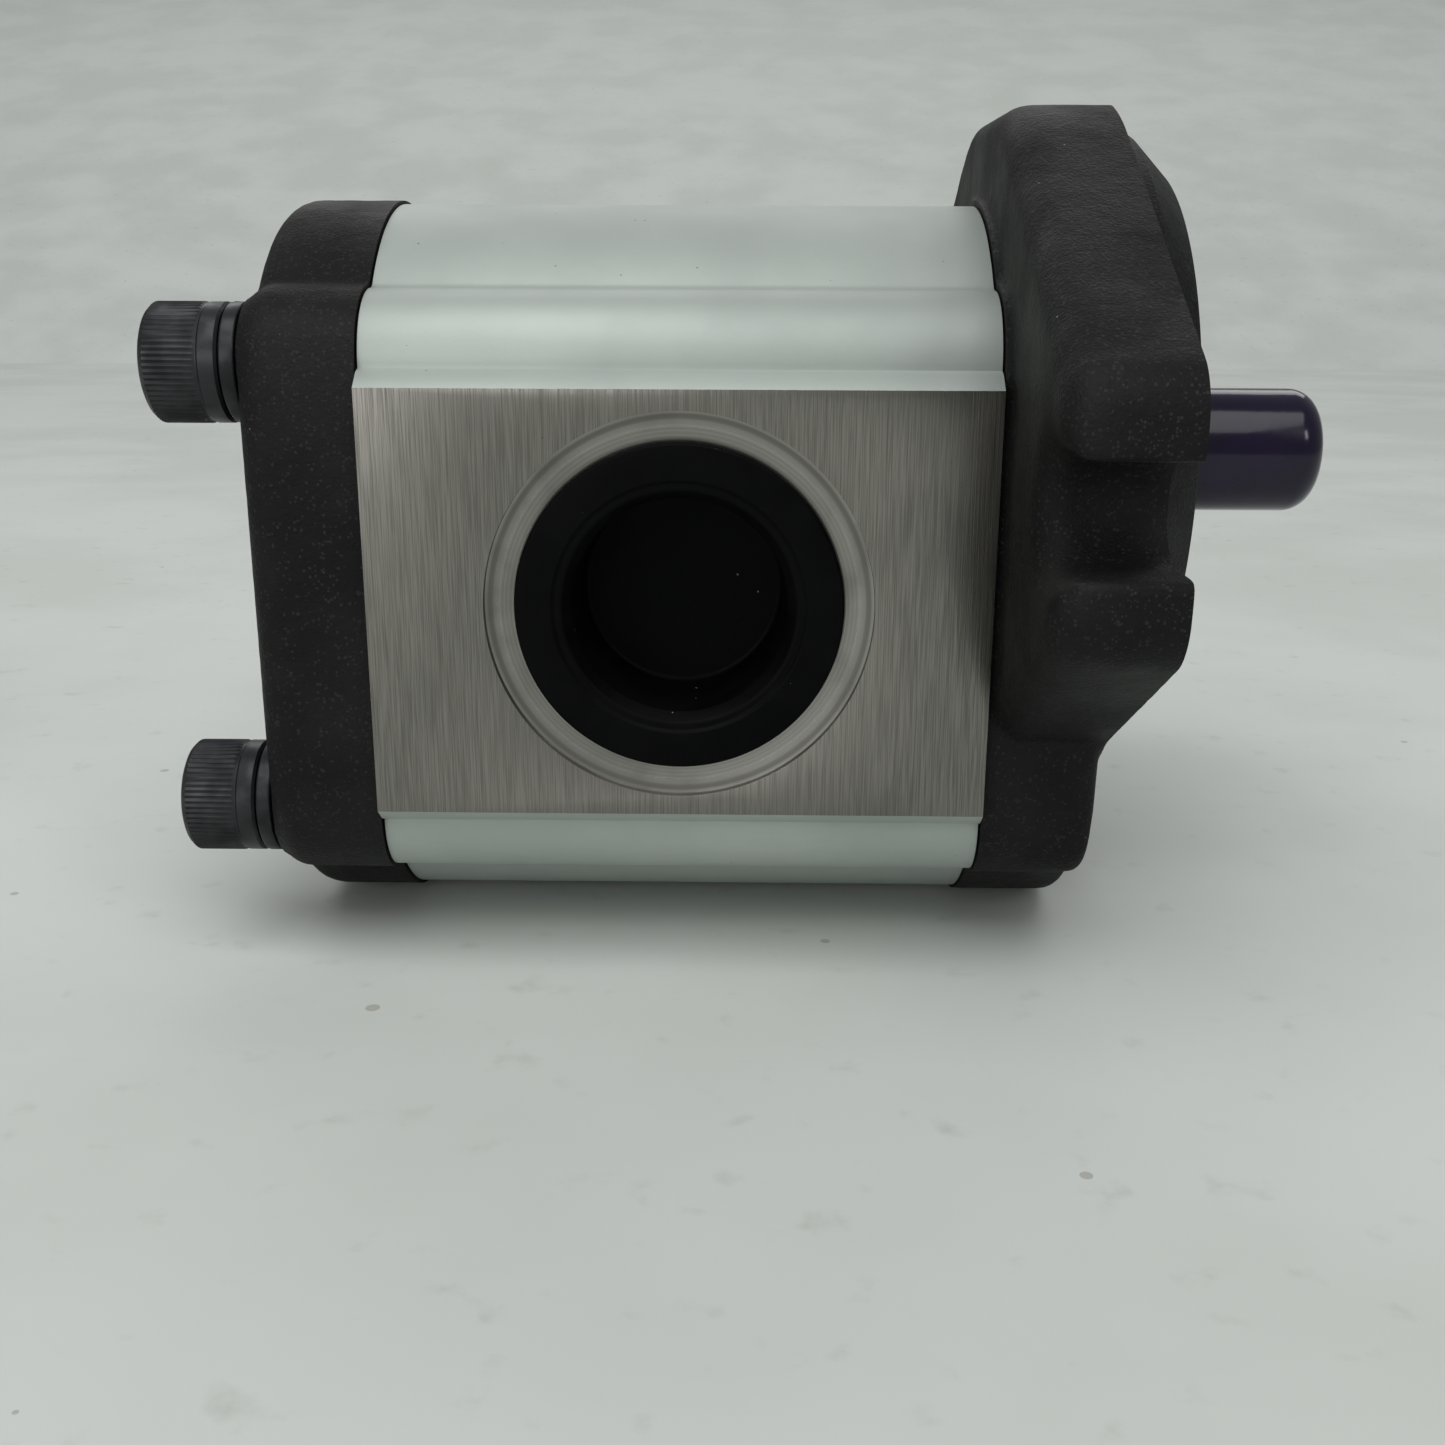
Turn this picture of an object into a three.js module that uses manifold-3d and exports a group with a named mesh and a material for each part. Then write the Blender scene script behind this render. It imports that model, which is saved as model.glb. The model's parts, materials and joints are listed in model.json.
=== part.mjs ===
// External gear pump: an extruded aluminium body between a cast front flange and a cast rear cover,
// held by four long socket screws. Two meshed gears turn inside it on bushed bearing blocks.
//
// Millimetres. The origin is where the drive shaft's axis crosses the flange's mounting face.
// +X runs out of the drive end, -Y is the suction side, and +Z runs from the driven gear to the
// drive gear. The housing group has its own zero height, halfway between the two gear axes.
import * as THREE from 'three';
import { mergeVertices } from 'three/addons/utils/BufferGeometryUtils.js';
import Module from 'manifold-3d';

const wasm = await Module();
wasm.setup();

// Clearances
const SEAT_GAP = 0.3; // left between two pieces that touch or slide
const SCREW_CLEARANCE = 0.4; // around a screw's shank
const TIP_CLEARANCE = 0.35; // between the gear tips and the body
const BACKLASH = 0.36; // play between the flanks, along the pitch circle

// Gears and shafts
const GEAR_CENTRES = 38;
const TOOTH_COUNT = 12;
const PRESSURE_ANGLE = THREE.MathUtils.degToRad(25);
const ADDENDUM_FACTOR = 1.04; // of the module
const DEDENDUM_FACTOR = 1.23;
const GEAR_WIDTH = 41;
const JOURNAL_RADIUS = 11;
const SEAL_LAND_RADIUS = 10;
const SPLINE_RADIUS = 9.3;
const SPLINE_DEPTH = 1.2;
const SPLINE_TEETH = 11;
const SPLINE_START = 10.4;
const SHAFT_END = 38.7;
const END_CHAMFER = 1;

// Body
const BODY_LENGTH = 93;
const BODY_WIDTH = 90; // from one port pad to the other
const PAD_HEIGHT = 64;
const PAD_RISE = 2.5; // pads stand out of the extruded profile
const PAD_SLOPE = 2;
const LOBE_WALL = 16.75; // around the gear bores
const BOSS_RADIUS = 11; // around the screws

// Screws, spring washers and dowels
const SCREW_SPACING_Y = 60;
const SCREW_SPACING_Z = 69;
const SCREW_RADIUS = 6;
const HEAD_RADIUS = 9;
const HEAD_HEIGHT = 12;
const HEAD_BAND = 3; // plain band under the knurl
const SOCKET_FLATS = 10;
const SOCKET_DEPTH = 6;
const THREAD_GRIP = 12.5; // screw length inside the flange
const WASHER_THICKNESS = 2.3;
const WASHER_SPLIT = 1.6;
const DOWEL_RADIUS = 3;
const DOWEL_DEPTH = 7; // in each of the two pieces it joins
const DOWEL_Y = 34.5;
const DOWEL_Z = 9;

// Front flange and rear cover
const FLANGE_BASE = 18.5; // mounting face back to the body
const CAST_PROUD = 0.6; // castings stand out of the body's profile
const PLATE_THICKNESS = 17.3; // two-bolt plate
const PLATE_RADIUS = 56;
const PLATE_TOP = 53.8;
const PLATE_ROUNDING = 6;
const EAR_REACH = 81.6;
const EAR_CORNER_Z = 11.8;
const EAR_CORNER_RADIUS = 9;
const BOLT_SPAN = 146;
const SLOT_WIDTH = 14.3;
const SLOT_FLARE = 4;
const PILOT_RADIUS = 50.8;
const PILOT_LENGTH = 9.7;
const PILOT_CHAMFER = 5.6;
const FRONT_ROUNDING = 2.5;
const COVER_THICKNESS = 18;
const COVER_ROUNDING = 4.5;
const PAD_MARGIN = 0.7; // cover's flat screw seats reach past the washers

// Bearings and seals
const BUSH_WALL = 1.8;
const BODY_SEAL_WIDTH = 1.8;
const BODY_SEAL_DEPTH = 2;
const BODY_SEAL_INSET = 1.6; // land between the gear bore and the seal's groove
const PRESSURE_SEAL_LAP = 0.4; // the two arcs cross this far past the middle plane
const PRESSURE_SEAL_WIDTH = 2.2;
const PRESSURE_SEAL_DEPTH = 1.2;
const BACKUP_DEPTH = 0.9;
const RELIEF_DEPTH = 1.6; // pockets for oil trapped between the teeth
const SHAFT_PASSAGE = 11.6;
const SEAL_POCKET_RADIUS = 20;
const SEAL_POCKET_DEPTH = 15.7; // from the pilot's face
const SHAFT_SEAL_WIDTH = 7;
const SEAL_LIP_GAP = 0.25;
const CLIP_THICKNESS = 1.5;
const CLIP_GROOVE = 1.3;
const CLIP_BAND = 3;

// Ports: radius of the spotface, thread and passage, and the plug's own sizes
const PORT_WALL = 1.95; // between a thread bore's floor and the gear bores
const SPOTFACE_DEPTH = 1.6;
const RIM_THICKNESS = 1.2;
const PLUG_WALL = 3.3;
const PLUG_FLOOR = 1.5;
const SUCTION_PORT = { side: -1, spotface: 29, thread: 19.8, passage: 13, rim: 24.5 };
const PRESSURE_PORT = { side: 1, spotface: 24.5, thread: 16.4, passage: 10, rim: 20.2 };

// Shaft cap
const CAP_WALL = 0.7;
const CAP_FLOOR = 2.2;
const CAP_ROUNDING = 4.6;

// Places that follow from the sizes above
const BODY_FRONT = -FLANGE_BASE;
const BODY_REAR = BODY_FRONT - BODY_LENGTH;
const COVER_FRONT = BODY_REAR - SEAT_GAP;
const COVER_REAR = COVER_FRONT - COVER_THICKNESS;
const PORT_X = (BODY_FRONT + BODY_REAR) / 2;
const GEAR_Z = GEAR_CENTRES / 2;
const MODULE = GEAR_CENTRES / TOOTH_COUNT;
const TIP_RADIUS = GEAR_Z + ADDENDUM_FACTOR * MODULE;
const ROOT_RADIUS = GEAR_Z - DEDENDUM_FACTOR * MODULE;
const GEAR_BORE = TIP_RADIUS + TIP_CLEARANCE;
const BLOCK_RADIUS = GEAR_BORE - SEAT_GAP;
const PORT_DEPTH = BODY_WIDTH / 2 - GEAR_BORE - PORT_WALL;
const PRESSURE_SEAL_RADIUS = GEAR_Z - PRESSURE_SEAL_LAP;
const BUSH_INNER = JOURNAL_RADIUS + SEAT_GAP;
const BUSH_OUTER = BUSH_INNER + BUSH_WALL;
const HEAD_SEAT = COVER_REAR - WASHER_THICKNESS - 2 * SEAT_GAP;
const SCREW_HOLE = SCREW_RADIUS + SCREW_CLEARANCE;
const CASTING_JOINT = BODY_FRONT + SEAT_GAP; // the flange's back face
const GEAR_FRONT = PORT_X + GEAR_WIDTH / 2;
const GEAR_REAR = PORT_X - GEAR_WIDTH / 2;
const CAP_START = SPLINE_START + SEAT_GAP;

const AXIS_X = new THREE.Vector3(1, 0, 0);
const AXIS_Y = new THREE.Vector3(0, 1, 0);
const AXIS_Z = new THREE.Vector3(0, 0, 1);

// ---------- Solids ----------

/** Turns a closed geometry into a solid, with its faces pointing out. */
function toSolid(geometry) {
  const bare = geometry.clone();
  bare.deleteAttribute('normal');
  bare.deleteAttribute('uv');
  const merged = mergeVertices(bare, 1e-4);
  const points = Float32Array.from(merged.attributes.position.array);
  const corner = [0, 1, 2].map(() => new THREE.Vector3());
  const triangles = [];
  let volume = 0;
  for (let i = 0; i < merged.index.count; i += 3) {
    const ids = [0, 1, 2].map((k) => merged.index.getX(i + k));
    if (new Set(ids).size === 3) {
      triangles.push(ids);
      ids.forEach((id, k) => corner[k].fromArray(points, 3 * id));
      volume += corner[0].dot(corner[1].cross(corner[2]));
    }
  }
  const facing = volume > 0 ? triangles : triangles.map((ids) => ids.reverse());
  const mesh = new wasm.Mesh({
    numProp: 3,
    vertProperties: points,
    triVerts: Uint32Array.from(facing.flat()),
  });
  return new wasm.Manifold(mesh);
}

/** Turns a solid back into a geometry. */
function toGeometry(solid) {
  const mesh = solid.getMesh();
  const geometry = new THREE.BufferGeometry();
  geometry.setAttribute('position', new THREE.BufferAttribute(mesh.vertProperties, 3));
  geometry.setIndex(new THREE.BufferAttribute(mesh.triVerts, 1));
  geometry.computeVertexNormals();
  return geometry;
}

const join = (solids) => solids.reduce((whole, solid) => whole.add(solid));
const cut = (solid, tools) => tools.reduce((rest, tool) => rest.subtract(tool), solid);

/** Extrudes a shape, drawn with Y across and Z up, along X from x0 to x1. */
function prism(shape, x0, x1) {
  const geometry = new THREE.ExtrudeGeometry(shape, { depth: x1 - x0, bevelEnabled: false });
  geometry.applyMatrix4(new THREE.Matrix4().makeBasis(AXIS_Y, AXIS_Z, AXIS_X));
  geometry.translate(x0, 0, 0);
  return toSolid(geometry);
}

/** Revolves a profile of [x, radius] points about the X axis. */
function turned(profile, sides = 24) {
  const points = profile.map(([x, radius]) => new THREE.Vector2(radius, x));
  const geometry = new THREE.LatheGeometry(points, sides);
  geometry.applyMatrix4(new THREE.Matrix4().makeBasis(AXIS_Z, AXIS_X, AXIS_Y));
  return toSolid(geometry);
}

/** A rod along X, centred on (y, z). */
function rod(radius, x0, x1, y = 0, z = 0, sides = 24) {
  const solid = turned([[x0, 0], [x0, radius], [x1, radius], [x1, 0]], sides);
  return solid.translate([0, y, z]);
}

/** A block between two corners. */
function block(low, high) {
  const size = high.map((value, k) => value - low[k]);
  const geometry = new THREE.BoxGeometry(...size);
  geometry.translate(...low.map((value, k) => value + size[k] / 2));
  return toSolid(geometry);
}

/** Points on an arc about (y, z), both ends included; angles in degrees from +Y towards +Z. */
function arc(y, z, radius, from, to, steps) {
  const points = [];
  for (let i = 0; i <= steps; i += 1) {
    const angle = THREE.MathUtils.degToRad(from + ((to - from) * i) / steps);
    points.push(new THREE.Vector2(y + radius * Math.cos(angle), z + radius * Math.sin(angle)));
  }
  return points;
}

const circle = (y, z, radius, steps) => arc(y, z, radius, 0, 360, steps).slice(0, steps);

/** Moves every edge of a convex outline, given anticlockwise, inwards by a distance. */
function inset(outline, distance) {
  return outline.map((point, i) => {
    const before = outline[(i + outline.length - 1) % outline.length];
    const after = outline[(i + 1) % outline.length];
    const first = new THREE.Vector2(point.y - before.y, before.x - point.x).normalize();
    const second = new THREE.Vector2(after.y - point.y, point.x - after.x).normalize();
    const mitre = first.clone().add(second).normalize();
    return point.clone().addScaledVector(mitre, -distance / mitre.dot(first));
  });
}

/** A closed solid through a row of rings, each { x, outline } with the same number of points. */
function loft(rings) {
  const count = rings[0].outline.length;
  const positions = rings.flatMap(({ x, outline }) => outline.flatMap((point) => [x, point.x, point.y]));
  const index = [];
  for (let ring = 0; ring + 1 < rings.length; ring += 1) {
    for (let i = 0; i < count; i += 1) {
      const here = ring * count + i;
      const next = ring * count + ((i + 1) % count);
      index.push(here, next, next + count, here, next + count, here + count);
    }
  }
  const lastRing = (rings.length - 1) * count;
  THREE.ShapeUtils.triangulateShape(rings[0].outline, []).forEach(([a, b, c]) => {
    index.push(a, c, b, lastRing + a, lastRing + b, lastRing + c);
  });
  const geometry = new THREE.BufferGeometry();
  geometry.setAttribute('position', new THREE.Float32BufferAttribute(positions, 3));
  geometry.setIndex(index);
  return toSolid(geometry);
}

/** Rings for a loft, rounded at both ends; outlineAt gives the outline moved in by a distance. */
function roundedRings(outlineAt, x0, x1, lowRadius, highRadius) {
  const steps = 3;
  const corner = (end, radius, direction) => {
    const used = radius > 0 ? steps : 0;
    return Array.from({ length: used + 1 }, (_, i) => {
      const angle = used > 0 ? (Math.PI / 2) * (i / used) : 0;
      const x = end + direction * radius * (used > 0 ? 1 - Math.sin(angle) : 0);
      return { x, outline: outlineAt(used > 0 ? radius * (1 - Math.cos(angle)) : 0) };
    });
  };
  return [...corner(x0, lowRadius, 1).reverse(), ...corner(x1, highRadius, -1)];
}

// ---------- Outlines ----------

/** Screw axes as [y, z], in the housing's frame. */
const SCREW_PLACES = [[-1, 1], [-1, -1], [1, -1], [1, 1]].map(([sideY, sideZ]) => [
  (sideY * SCREW_SPACING_Y) / 2,
  (sideZ * SCREW_SPACING_Z) / 2,
]);

const DOWEL_PLACES = [[-DOWEL_Y, DOWEL_Z], [DOWEL_Y, -DOWEL_Z]];
const GEAR_PLACES = [[0, GEAR_Z], [0, -GEAR_Z]];

/** Where two circles cross, on the side that faces away from the housing's middle plane. */
function crossing(first, firstRadius, second, secondRadius) {
  const along = second.clone().sub(first);
  const distance = along.length();
  along.normalize();
  const reach = (firstRadius ** 2 - secondRadius ** 2 + distance ** 2) / (2 * distance);
  const rise = Math.sqrt(firstRadius ** 2 - reach ** 2);
  return new THREE.Vector2(along.y, -along.x)
    .multiplyScalar(rise)
    .addScaledVector(along, reach)
    .add(first);
}

/** The housing's extruded profile, moved outwards by a distance: flat sides, bosses and lobes. */
function profileOutline(proud) {
  const boss = new THREE.Vector2(SCREW_SPACING_Y / 2, SCREW_SPACING_Z / 2);
  const lobe = new THREE.Vector2(0, GEAR_Z);
  const bossRadius = BOSS_RADIUS + proud;
  const lobeRadius = GEAR_BORE + LOBE_WALL + proud;
  const valley = crossing(boss, bossRadius, lobe, lobeRadius);
  const angleFrom = (centre) => THREE.MathUtils.radToDeg(valley.clone().sub(centre).angle());
  const side = new THREE.Vector2(BODY_WIDTH / 2 - PAD_RISE + proud, PAD_HEIGHT / 2 + PAD_SLOPE + proud);
  const quarter = [
    side,
    ...arc(boss.x, boss.y, bossRadius, 0, angleFrom(boss), 6),
    ...arc(lobe.x, lobe.y, lobeRadius, angleFrom(lobe), 90, 9).slice(1),
  ];
  const left = quarter.slice(0, -1).reverse().map((point) => new THREE.Vector2(-point.x, point.y));
  const upper = [...quarter, ...left];
  return [...upper, ...upper.map((point) => point.clone().negate())];
}

/** The profile extruded along X, with its edges rounded at the low and the high end. */
function roundedProfile(x0, x1, lowRadius, highRadius) {
  const outlineAt = (distance) => profileOutline(CAST_PROUD - distance);
  return loft(roundedRings(outlineAt, x0, x1, lowRadius, highRadius));
}

/** The two-bolt plate about the drive shaft's axis: ears, tangent flanks and a flat top. */
function plateOutline() {
  const earY = EAR_REACH - EAR_CORNER_RADIUS;
  const lean = Math.atan2(earY, EAR_CORNER_Z);
  const turn = Math.acos((PLATE_RADIUS - EAR_CORNER_RADIUS) / Math.hypot(earY, EAR_CORNER_Z));
  const flank = 90 - THREE.MathUtils.radToDeg(lean - turn);
  const flat = THREE.MathUtils.radToDeg(Math.asin(PLATE_TOP / PLATE_RADIUS));
  return [
    ...arc(earY, EAR_CORNER_Z, EAR_CORNER_RADIUS, 0, flank, 4),
    ...arc(0, 0, PLATE_RADIUS, flank, flat, 3),
    ...arc(0, 0, PLATE_RADIUS, 180 - flat, 180 - flank, 3),
    ...arc(-earY, EAR_CORNER_Z, EAR_CORNER_RADIUS, 180 - flank, 180, 4),
    ...arc(-earY, -EAR_CORNER_Z, EAR_CORNER_RADIUS, 180, 180 + flank, 4),
    ...arc(0, 0, PLATE_RADIUS, 180 + flank, 360 - flank, 10),
    ...arc(earY, -EAR_CORNER_Z, EAR_CORNER_RADIUS, 360 - flank, 360, 4),
  ];
}

/** One gear's toothed outline, with a tooth's centre line at the given angle in degrees. */
function gearOutline(firstTooth) {
  const pitchRadius = GEAR_CENTRES / 2;
  const baseRadius = pitchRadius * Math.cos(PRESSURE_ANGLE);
  const involute = (radius) => {
    const angle = Math.acos(Math.min(1, baseRadius / radius));
    return Math.tan(angle) - angle;
  };
  const halfTooth = Math.PI / (2 * TOOTH_COUNT) - BACKLASH / (4 * pitchRadius) + involute(pitchRadius);
  const flankSteps = 3;
  const flank = [[ROOT_RADIUS, halfTooth + 0.02]];
  for (let i = 0; i <= flankSteps; i += 1) {
    const radius = baseRadius + ((TIP_RADIUS - baseRadius) * i) / flankSteps;
    flank.push([radius, halfTooth - involute(radius)]);
  }
  const outline = [];
  for (let tooth = 0; tooth < TOOTH_COUNT; tooth += 1) {
    const centre = THREE.MathUtils.degToRad(firstTooth) + (2 * Math.PI * tooth) / TOOTH_COUNT;
    const place = ([radius, angle]) => {
      const turn = centre + angle;
      outline.push(new THREE.Vector2(radius * Math.cos(turn), radius * Math.sin(turn)));
    };
    flank.forEach(([radius, angle]) => place([radius, -angle]));
    [...flank].reverse().forEach(place);
  }
  return outline;
}

/** The shaft end's splined outline. */
function splineOutline() {
  const outline = [];
  const pitch = (2 * Math.PI) / SPLINE_TEETH;
  const steps = [[SPLINE_RADIUS - SPLINE_DEPTH, -0.38], [SPLINE_RADIUS, -0.18], [SPLINE_RADIUS, 0.18]];
  for (let tooth = 0; tooth < SPLINE_TEETH; tooth += 1) {
    [...steps, [SPLINE_RADIUS - SPLINE_DEPTH, 0.38]].forEach(([radius, share]) => {
      const turn = pitch * (tooth + share);
      outline.push(new THREE.Vector2(radius * Math.cos(turn), radius * Math.sin(turn)));
    });
  }
  return outline;
}

/** The rounded slot outline that runs around both gear bores, at a radius from their axes. */
function racetrack(radius) {
  return [...arc(0, GEAR_Z, radius, 0, 180, 12), ...arc(0, -GEAR_Z, radius, 180, 360, 12)];
}

// ---------- Housing ----------

/** A tool in a port's frame, +X out of the pump, moved to the port's place on the body. */
function atPort(tool, port) {
  return tool.rotate([0, 0, 90 * port.side]).translate([PORT_X, (port.side * BODY_WIDTH) / 2, 0]);
}

/** Spotface, thread bore and passage of one port. */
function portTools(port) {
  const past = 1;
  const throughWall = BODY_WIDTH / 2 - GEAR_BORE / 3;
  return [
    rod(port.spotface, -SPOTFACE_DEPTH, past, 0, 0, 40),
    rod(port.thread, -PORT_DEPTH, past, 0, 0, 32),
    rod(port.passage, -throughWall, past, 0, 0, 20),
  ].map((tool) => atPort(tool, port));
}

/** The racetrack seal groove, or with no clearance the seal itself, between two places on X. */
function bodySealRing(x0, x1, clearance) {
  const inner = GEAR_BORE + BODY_SEAL_INSET;
  const shape = new THREE.Shape(racetrack(inner + BODY_SEAL_WIDTH + SEAT_GAP + clearance));
  shape.holes.push(new THREE.Path(racetrack(inner + SEAT_GAP - clearance)));
  return prism(shape, x0, x1);
}

const dowelHoles = (x0, x1) => DOWEL_PLACES.map(([y, z]) => rod(DOWEL_RADIUS + SEAT_GAP, x0, x1, y, z, 12));
const screwHoles = (x0, x1) => SCREW_PLACES.map(([y, z]) => rod(SCREW_HOLE, x0, x1, y, z, 16));

function makeBody() {
  const half = BODY_WIDTH / 2;
  const pad = PAD_HEIGHT / 2;
  const corners = [[half, -pad], [half, pad], [half - PAD_RISE, pad + PAD_SLOPE]];
  const mirrored = corners.map(([y, z]) => [-y, -z]);
  const padOutline = [...corners, [PAD_RISE - half, pad + PAD_SLOPE], [-half, pad]];
  const pads = [...padOutline, mirrored[1], mirrored[2], [half - PAD_RISE, -pad - PAD_SLOPE]]
    .map(([y, z]) => new THREE.Vector2(y, z));
  const solids = [pads, profileOutline(0)]
    .map((outline) => prism(new THREE.Shape(outline), BODY_REAR, BODY_FRONT));
  const past = 1;
  const bores = GEAR_PLACES.map(([y, z]) => rod(GEAR_BORE, BODY_REAR - past, BODY_FRONT + past, y, z, 40));
  return cut(join(solids), [
    ...bores,
    ...screwHoles(BODY_REAR - past, BODY_FRONT + past),
    ...dowelHoles(BODY_REAR - past, BODY_REAR + DOWEL_DEPTH),
    ...dowelHoles(BODY_FRONT - DOWEL_DEPTH, BODY_FRONT + past),
    bodySealRing(BODY_REAR - past, BODY_REAR + BODY_SEAL_DEPTH + SEAT_GAP, SEAT_GAP),
    bodySealRing(BODY_FRONT - BODY_SEAL_DEPTH - SEAT_GAP, BODY_FRONT + past, SEAT_GAP),
    ...portTools(SUCTION_PORT),
    ...portTools(PRESSURE_PORT),
  ]);
}

function makeRearCover() {
  const plate = roundedProfile(COVER_REAR, COVER_FRONT, COVER_ROUNDING, 0);
  const seats = SCREW_PLACES.map(([y, z]) => rod(HEAD_RADIUS + PAD_MARGIN, COVER_REAR, COVER_FRONT, y, z));
  const past = 1;
  return cut(join([...seats, plate]), [
    ...screwHoles(COVER_REAR - past, COVER_FRONT + past),
    ...dowelHoles(COVER_FRONT - DOWEL_DEPTH, COVER_FRONT + past),
  ]);
}

/** A bolt slot open at the ear's end, flared where it meets the plate's rounded back. */
function slotTool(side) {
  const past = 1;
  const half = SLOT_WIDTH / 2;
  const bend = side > 0 ? [90, 270] : [270, 450];
  const mouth = side * (EAR_REACH + SLOT_WIDTH);
  const ends = side > 0 ? [[mouth, -half], [mouth, half]] : [[mouth, half], [mouth, -half]];
  const outline = [
    ...ends.map(([y, z]) => new THREE.Vector2(y, z)),
    ...arc((side * BOLT_SPAN) / 2, 0, half, bend[0], bend[1], 10),
  ];
  const back = -PLATE_THICKNESS;
  const rings = [{ x: back - past, outline: inset(outline, -SLOT_FLARE) }];
  for (let i = 0; i <= 3; i += 1) {
    const angle = (Math.PI / 2) * (i / 3);
    const grow = SLOT_FLARE * (1 - Math.sin(angle));
    rings.push({ x: back + SLOT_FLARE * (1 - Math.cos(angle)), outline: inset(outline, -grow) });
  }
  rings.push({ x: past, outline });
  return loft(rings).translate([0, 0, GEAR_Z]);
}

function makeFrontFlange() {
  const base = roundedProfile(CASTING_JOINT, 0, 0, FRONT_ROUNDING);
  const plateAt = (distance) => inset(plateOutline(), distance);
  const plate = loft(roundedRings(plateAt, -PLATE_THICKNESS, 0, PLATE_ROUNDING, END_CHAMFER));
  const pilotFoot = -PILOT_LENGTH;
  const pilot = turned([
    [pilotFoot, 0],
    [pilotFoot, PILOT_RADIUS],
    [PILOT_LENGTH - PILOT_CHAMFER, PILOT_RADIUS],
    [PILOT_LENGTH, PILOT_RADIUS - PILOT_CHAMFER],
    [PILOT_LENGTH, 0],
  ], 48);
  const past = 1;
  const onShaft = [
    rod(SHAFT_PASSAGE, CASTING_JOINT - past, PILOT_LENGTH + past),
    rod(SEAL_POCKET_RADIUS, PILOT_LENGTH - SEAL_POCKET_DEPTH, PILOT_LENGTH + past, 0, 0, 32),
    rod(SEAL_POCKET_RADIUS + CLIP_GROOVE, CLIP_X - SEAT_GAP, CLIP_X + CLIP_THICKNESS + SEAT_GAP, 0, 0, 32),
  ];
  const solids = [base, ...[plate, pilot].map((solid) => solid.translate([0, 0, GEAR_Z]))];
  return cut(join(solids), [
    ...onShaft.map((tool) => tool.translate([0, 0, GEAR_Z])),
    ...screwHoles(CASTING_JOINT - past, CASTING_JOINT + THREAD_GRIP),
    ...dowelHoles(CASTING_JOINT - past, CASTING_JOINT + DOWEL_DEPTH),
    slotTool(-1),
    slotTool(1),
  ]);
}

// ---------- Gears, bearings and seals ----------

const GEAR_SIDE_GAP = SEAT_GAP;
const BLOCK_LENGTH = (BODY_LENGTH - GEAR_WIDTH) / 2 - GEAR_SIDE_GAP - SEAT_GAP;
const JOURNAL_END = BLOCK_LENGTH - END_CHAMFER;
const SHAFT_SEAL_X = PILOT_LENGTH - SEAL_POCKET_DEPTH + SEAT_GAP;
const CLIP_X = SHAFT_SEAL_X + SHAFT_SEAL_WIDTH + 2 * SEAT_GAP;

/** A gear with a chamfered journal on each side; the front one's end is given. */
function gearWithJournals(firstTooth, frontEnd) {
  const rearEnd = GEAR_REAR - JOURNAL_END;
  const journals = turned([
    [rearEnd, 0],
    [rearEnd, JOURNAL_RADIUS - END_CHAMFER],
    [rearEnd + END_CHAMFER, JOURNAL_RADIUS],
    [frontEnd - END_CHAMFER, JOURNAL_RADIUS],
    [frontEnd, JOURNAL_RADIUS - END_CHAMFER],
    [frontEnd, 0],
  ]);
  return prism(new THREE.Shape(gearOutline(firstTooth)), GEAR_REAR, GEAR_FRONT).add(journals);
}

function makeDriveGearShaft() {
  const gear = gearWithJournals(-90, GEAR_FRONT + JOURNAL_END);
  const sealLand = rod(SEAL_LAND_RADIUS, GEAR_FRONT, SPLINE_START);
  const spline = prism(new THREE.Shape(splineOutline()), SPLINE_START - END_CHAMFER, SHAFT_END);
  const endShape = turned([
    [GEAR_FRONT, 0],
    [GEAR_FRONT, SPLINE_RADIUS],
    [SHAFT_END - END_CHAMFER, SPLINE_RADIUS],
    [SHAFT_END, SPLINE_RADIUS - END_CHAMFER],
    [SHAFT_END, 0],
  ], 33);
  return join([gear, sealLand, spline.intersect(endShape)]);
}

function makeDrivenGearShaft() {
  const halfPitch = 180 / TOOTH_COUNT;
  return gearWithJournals(90 + halfPitch, GEAR_FRONT + JOURNAL_END);
}

/** The pressure seal's two joined arcs on the pressure side, from the body's middle plane. */
function pressureSealRing(x0, x1, clearance) {
  const half = PRESSURE_SEAL_WIDTH / 2 + clearance;
  const extra = clearance > 0 ? 3 : 0;
  const band = (centre, from, to) => {
    const outer = arc(0, centre, PRESSURE_SEAL_RADIUS + half, from, to, 10);
    const inner = arc(0, centre, PRESSURE_SEAL_RADIUS - half, to, from, 10);
    return prism(new THREE.Shape([...outer, ...inner]), x0, x1);
  };
  return band(GEAR_Z, -96 - extra, 90 + extra).add(band(-GEAR_Z, -90 - extra, 96 + extra));
}

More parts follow.
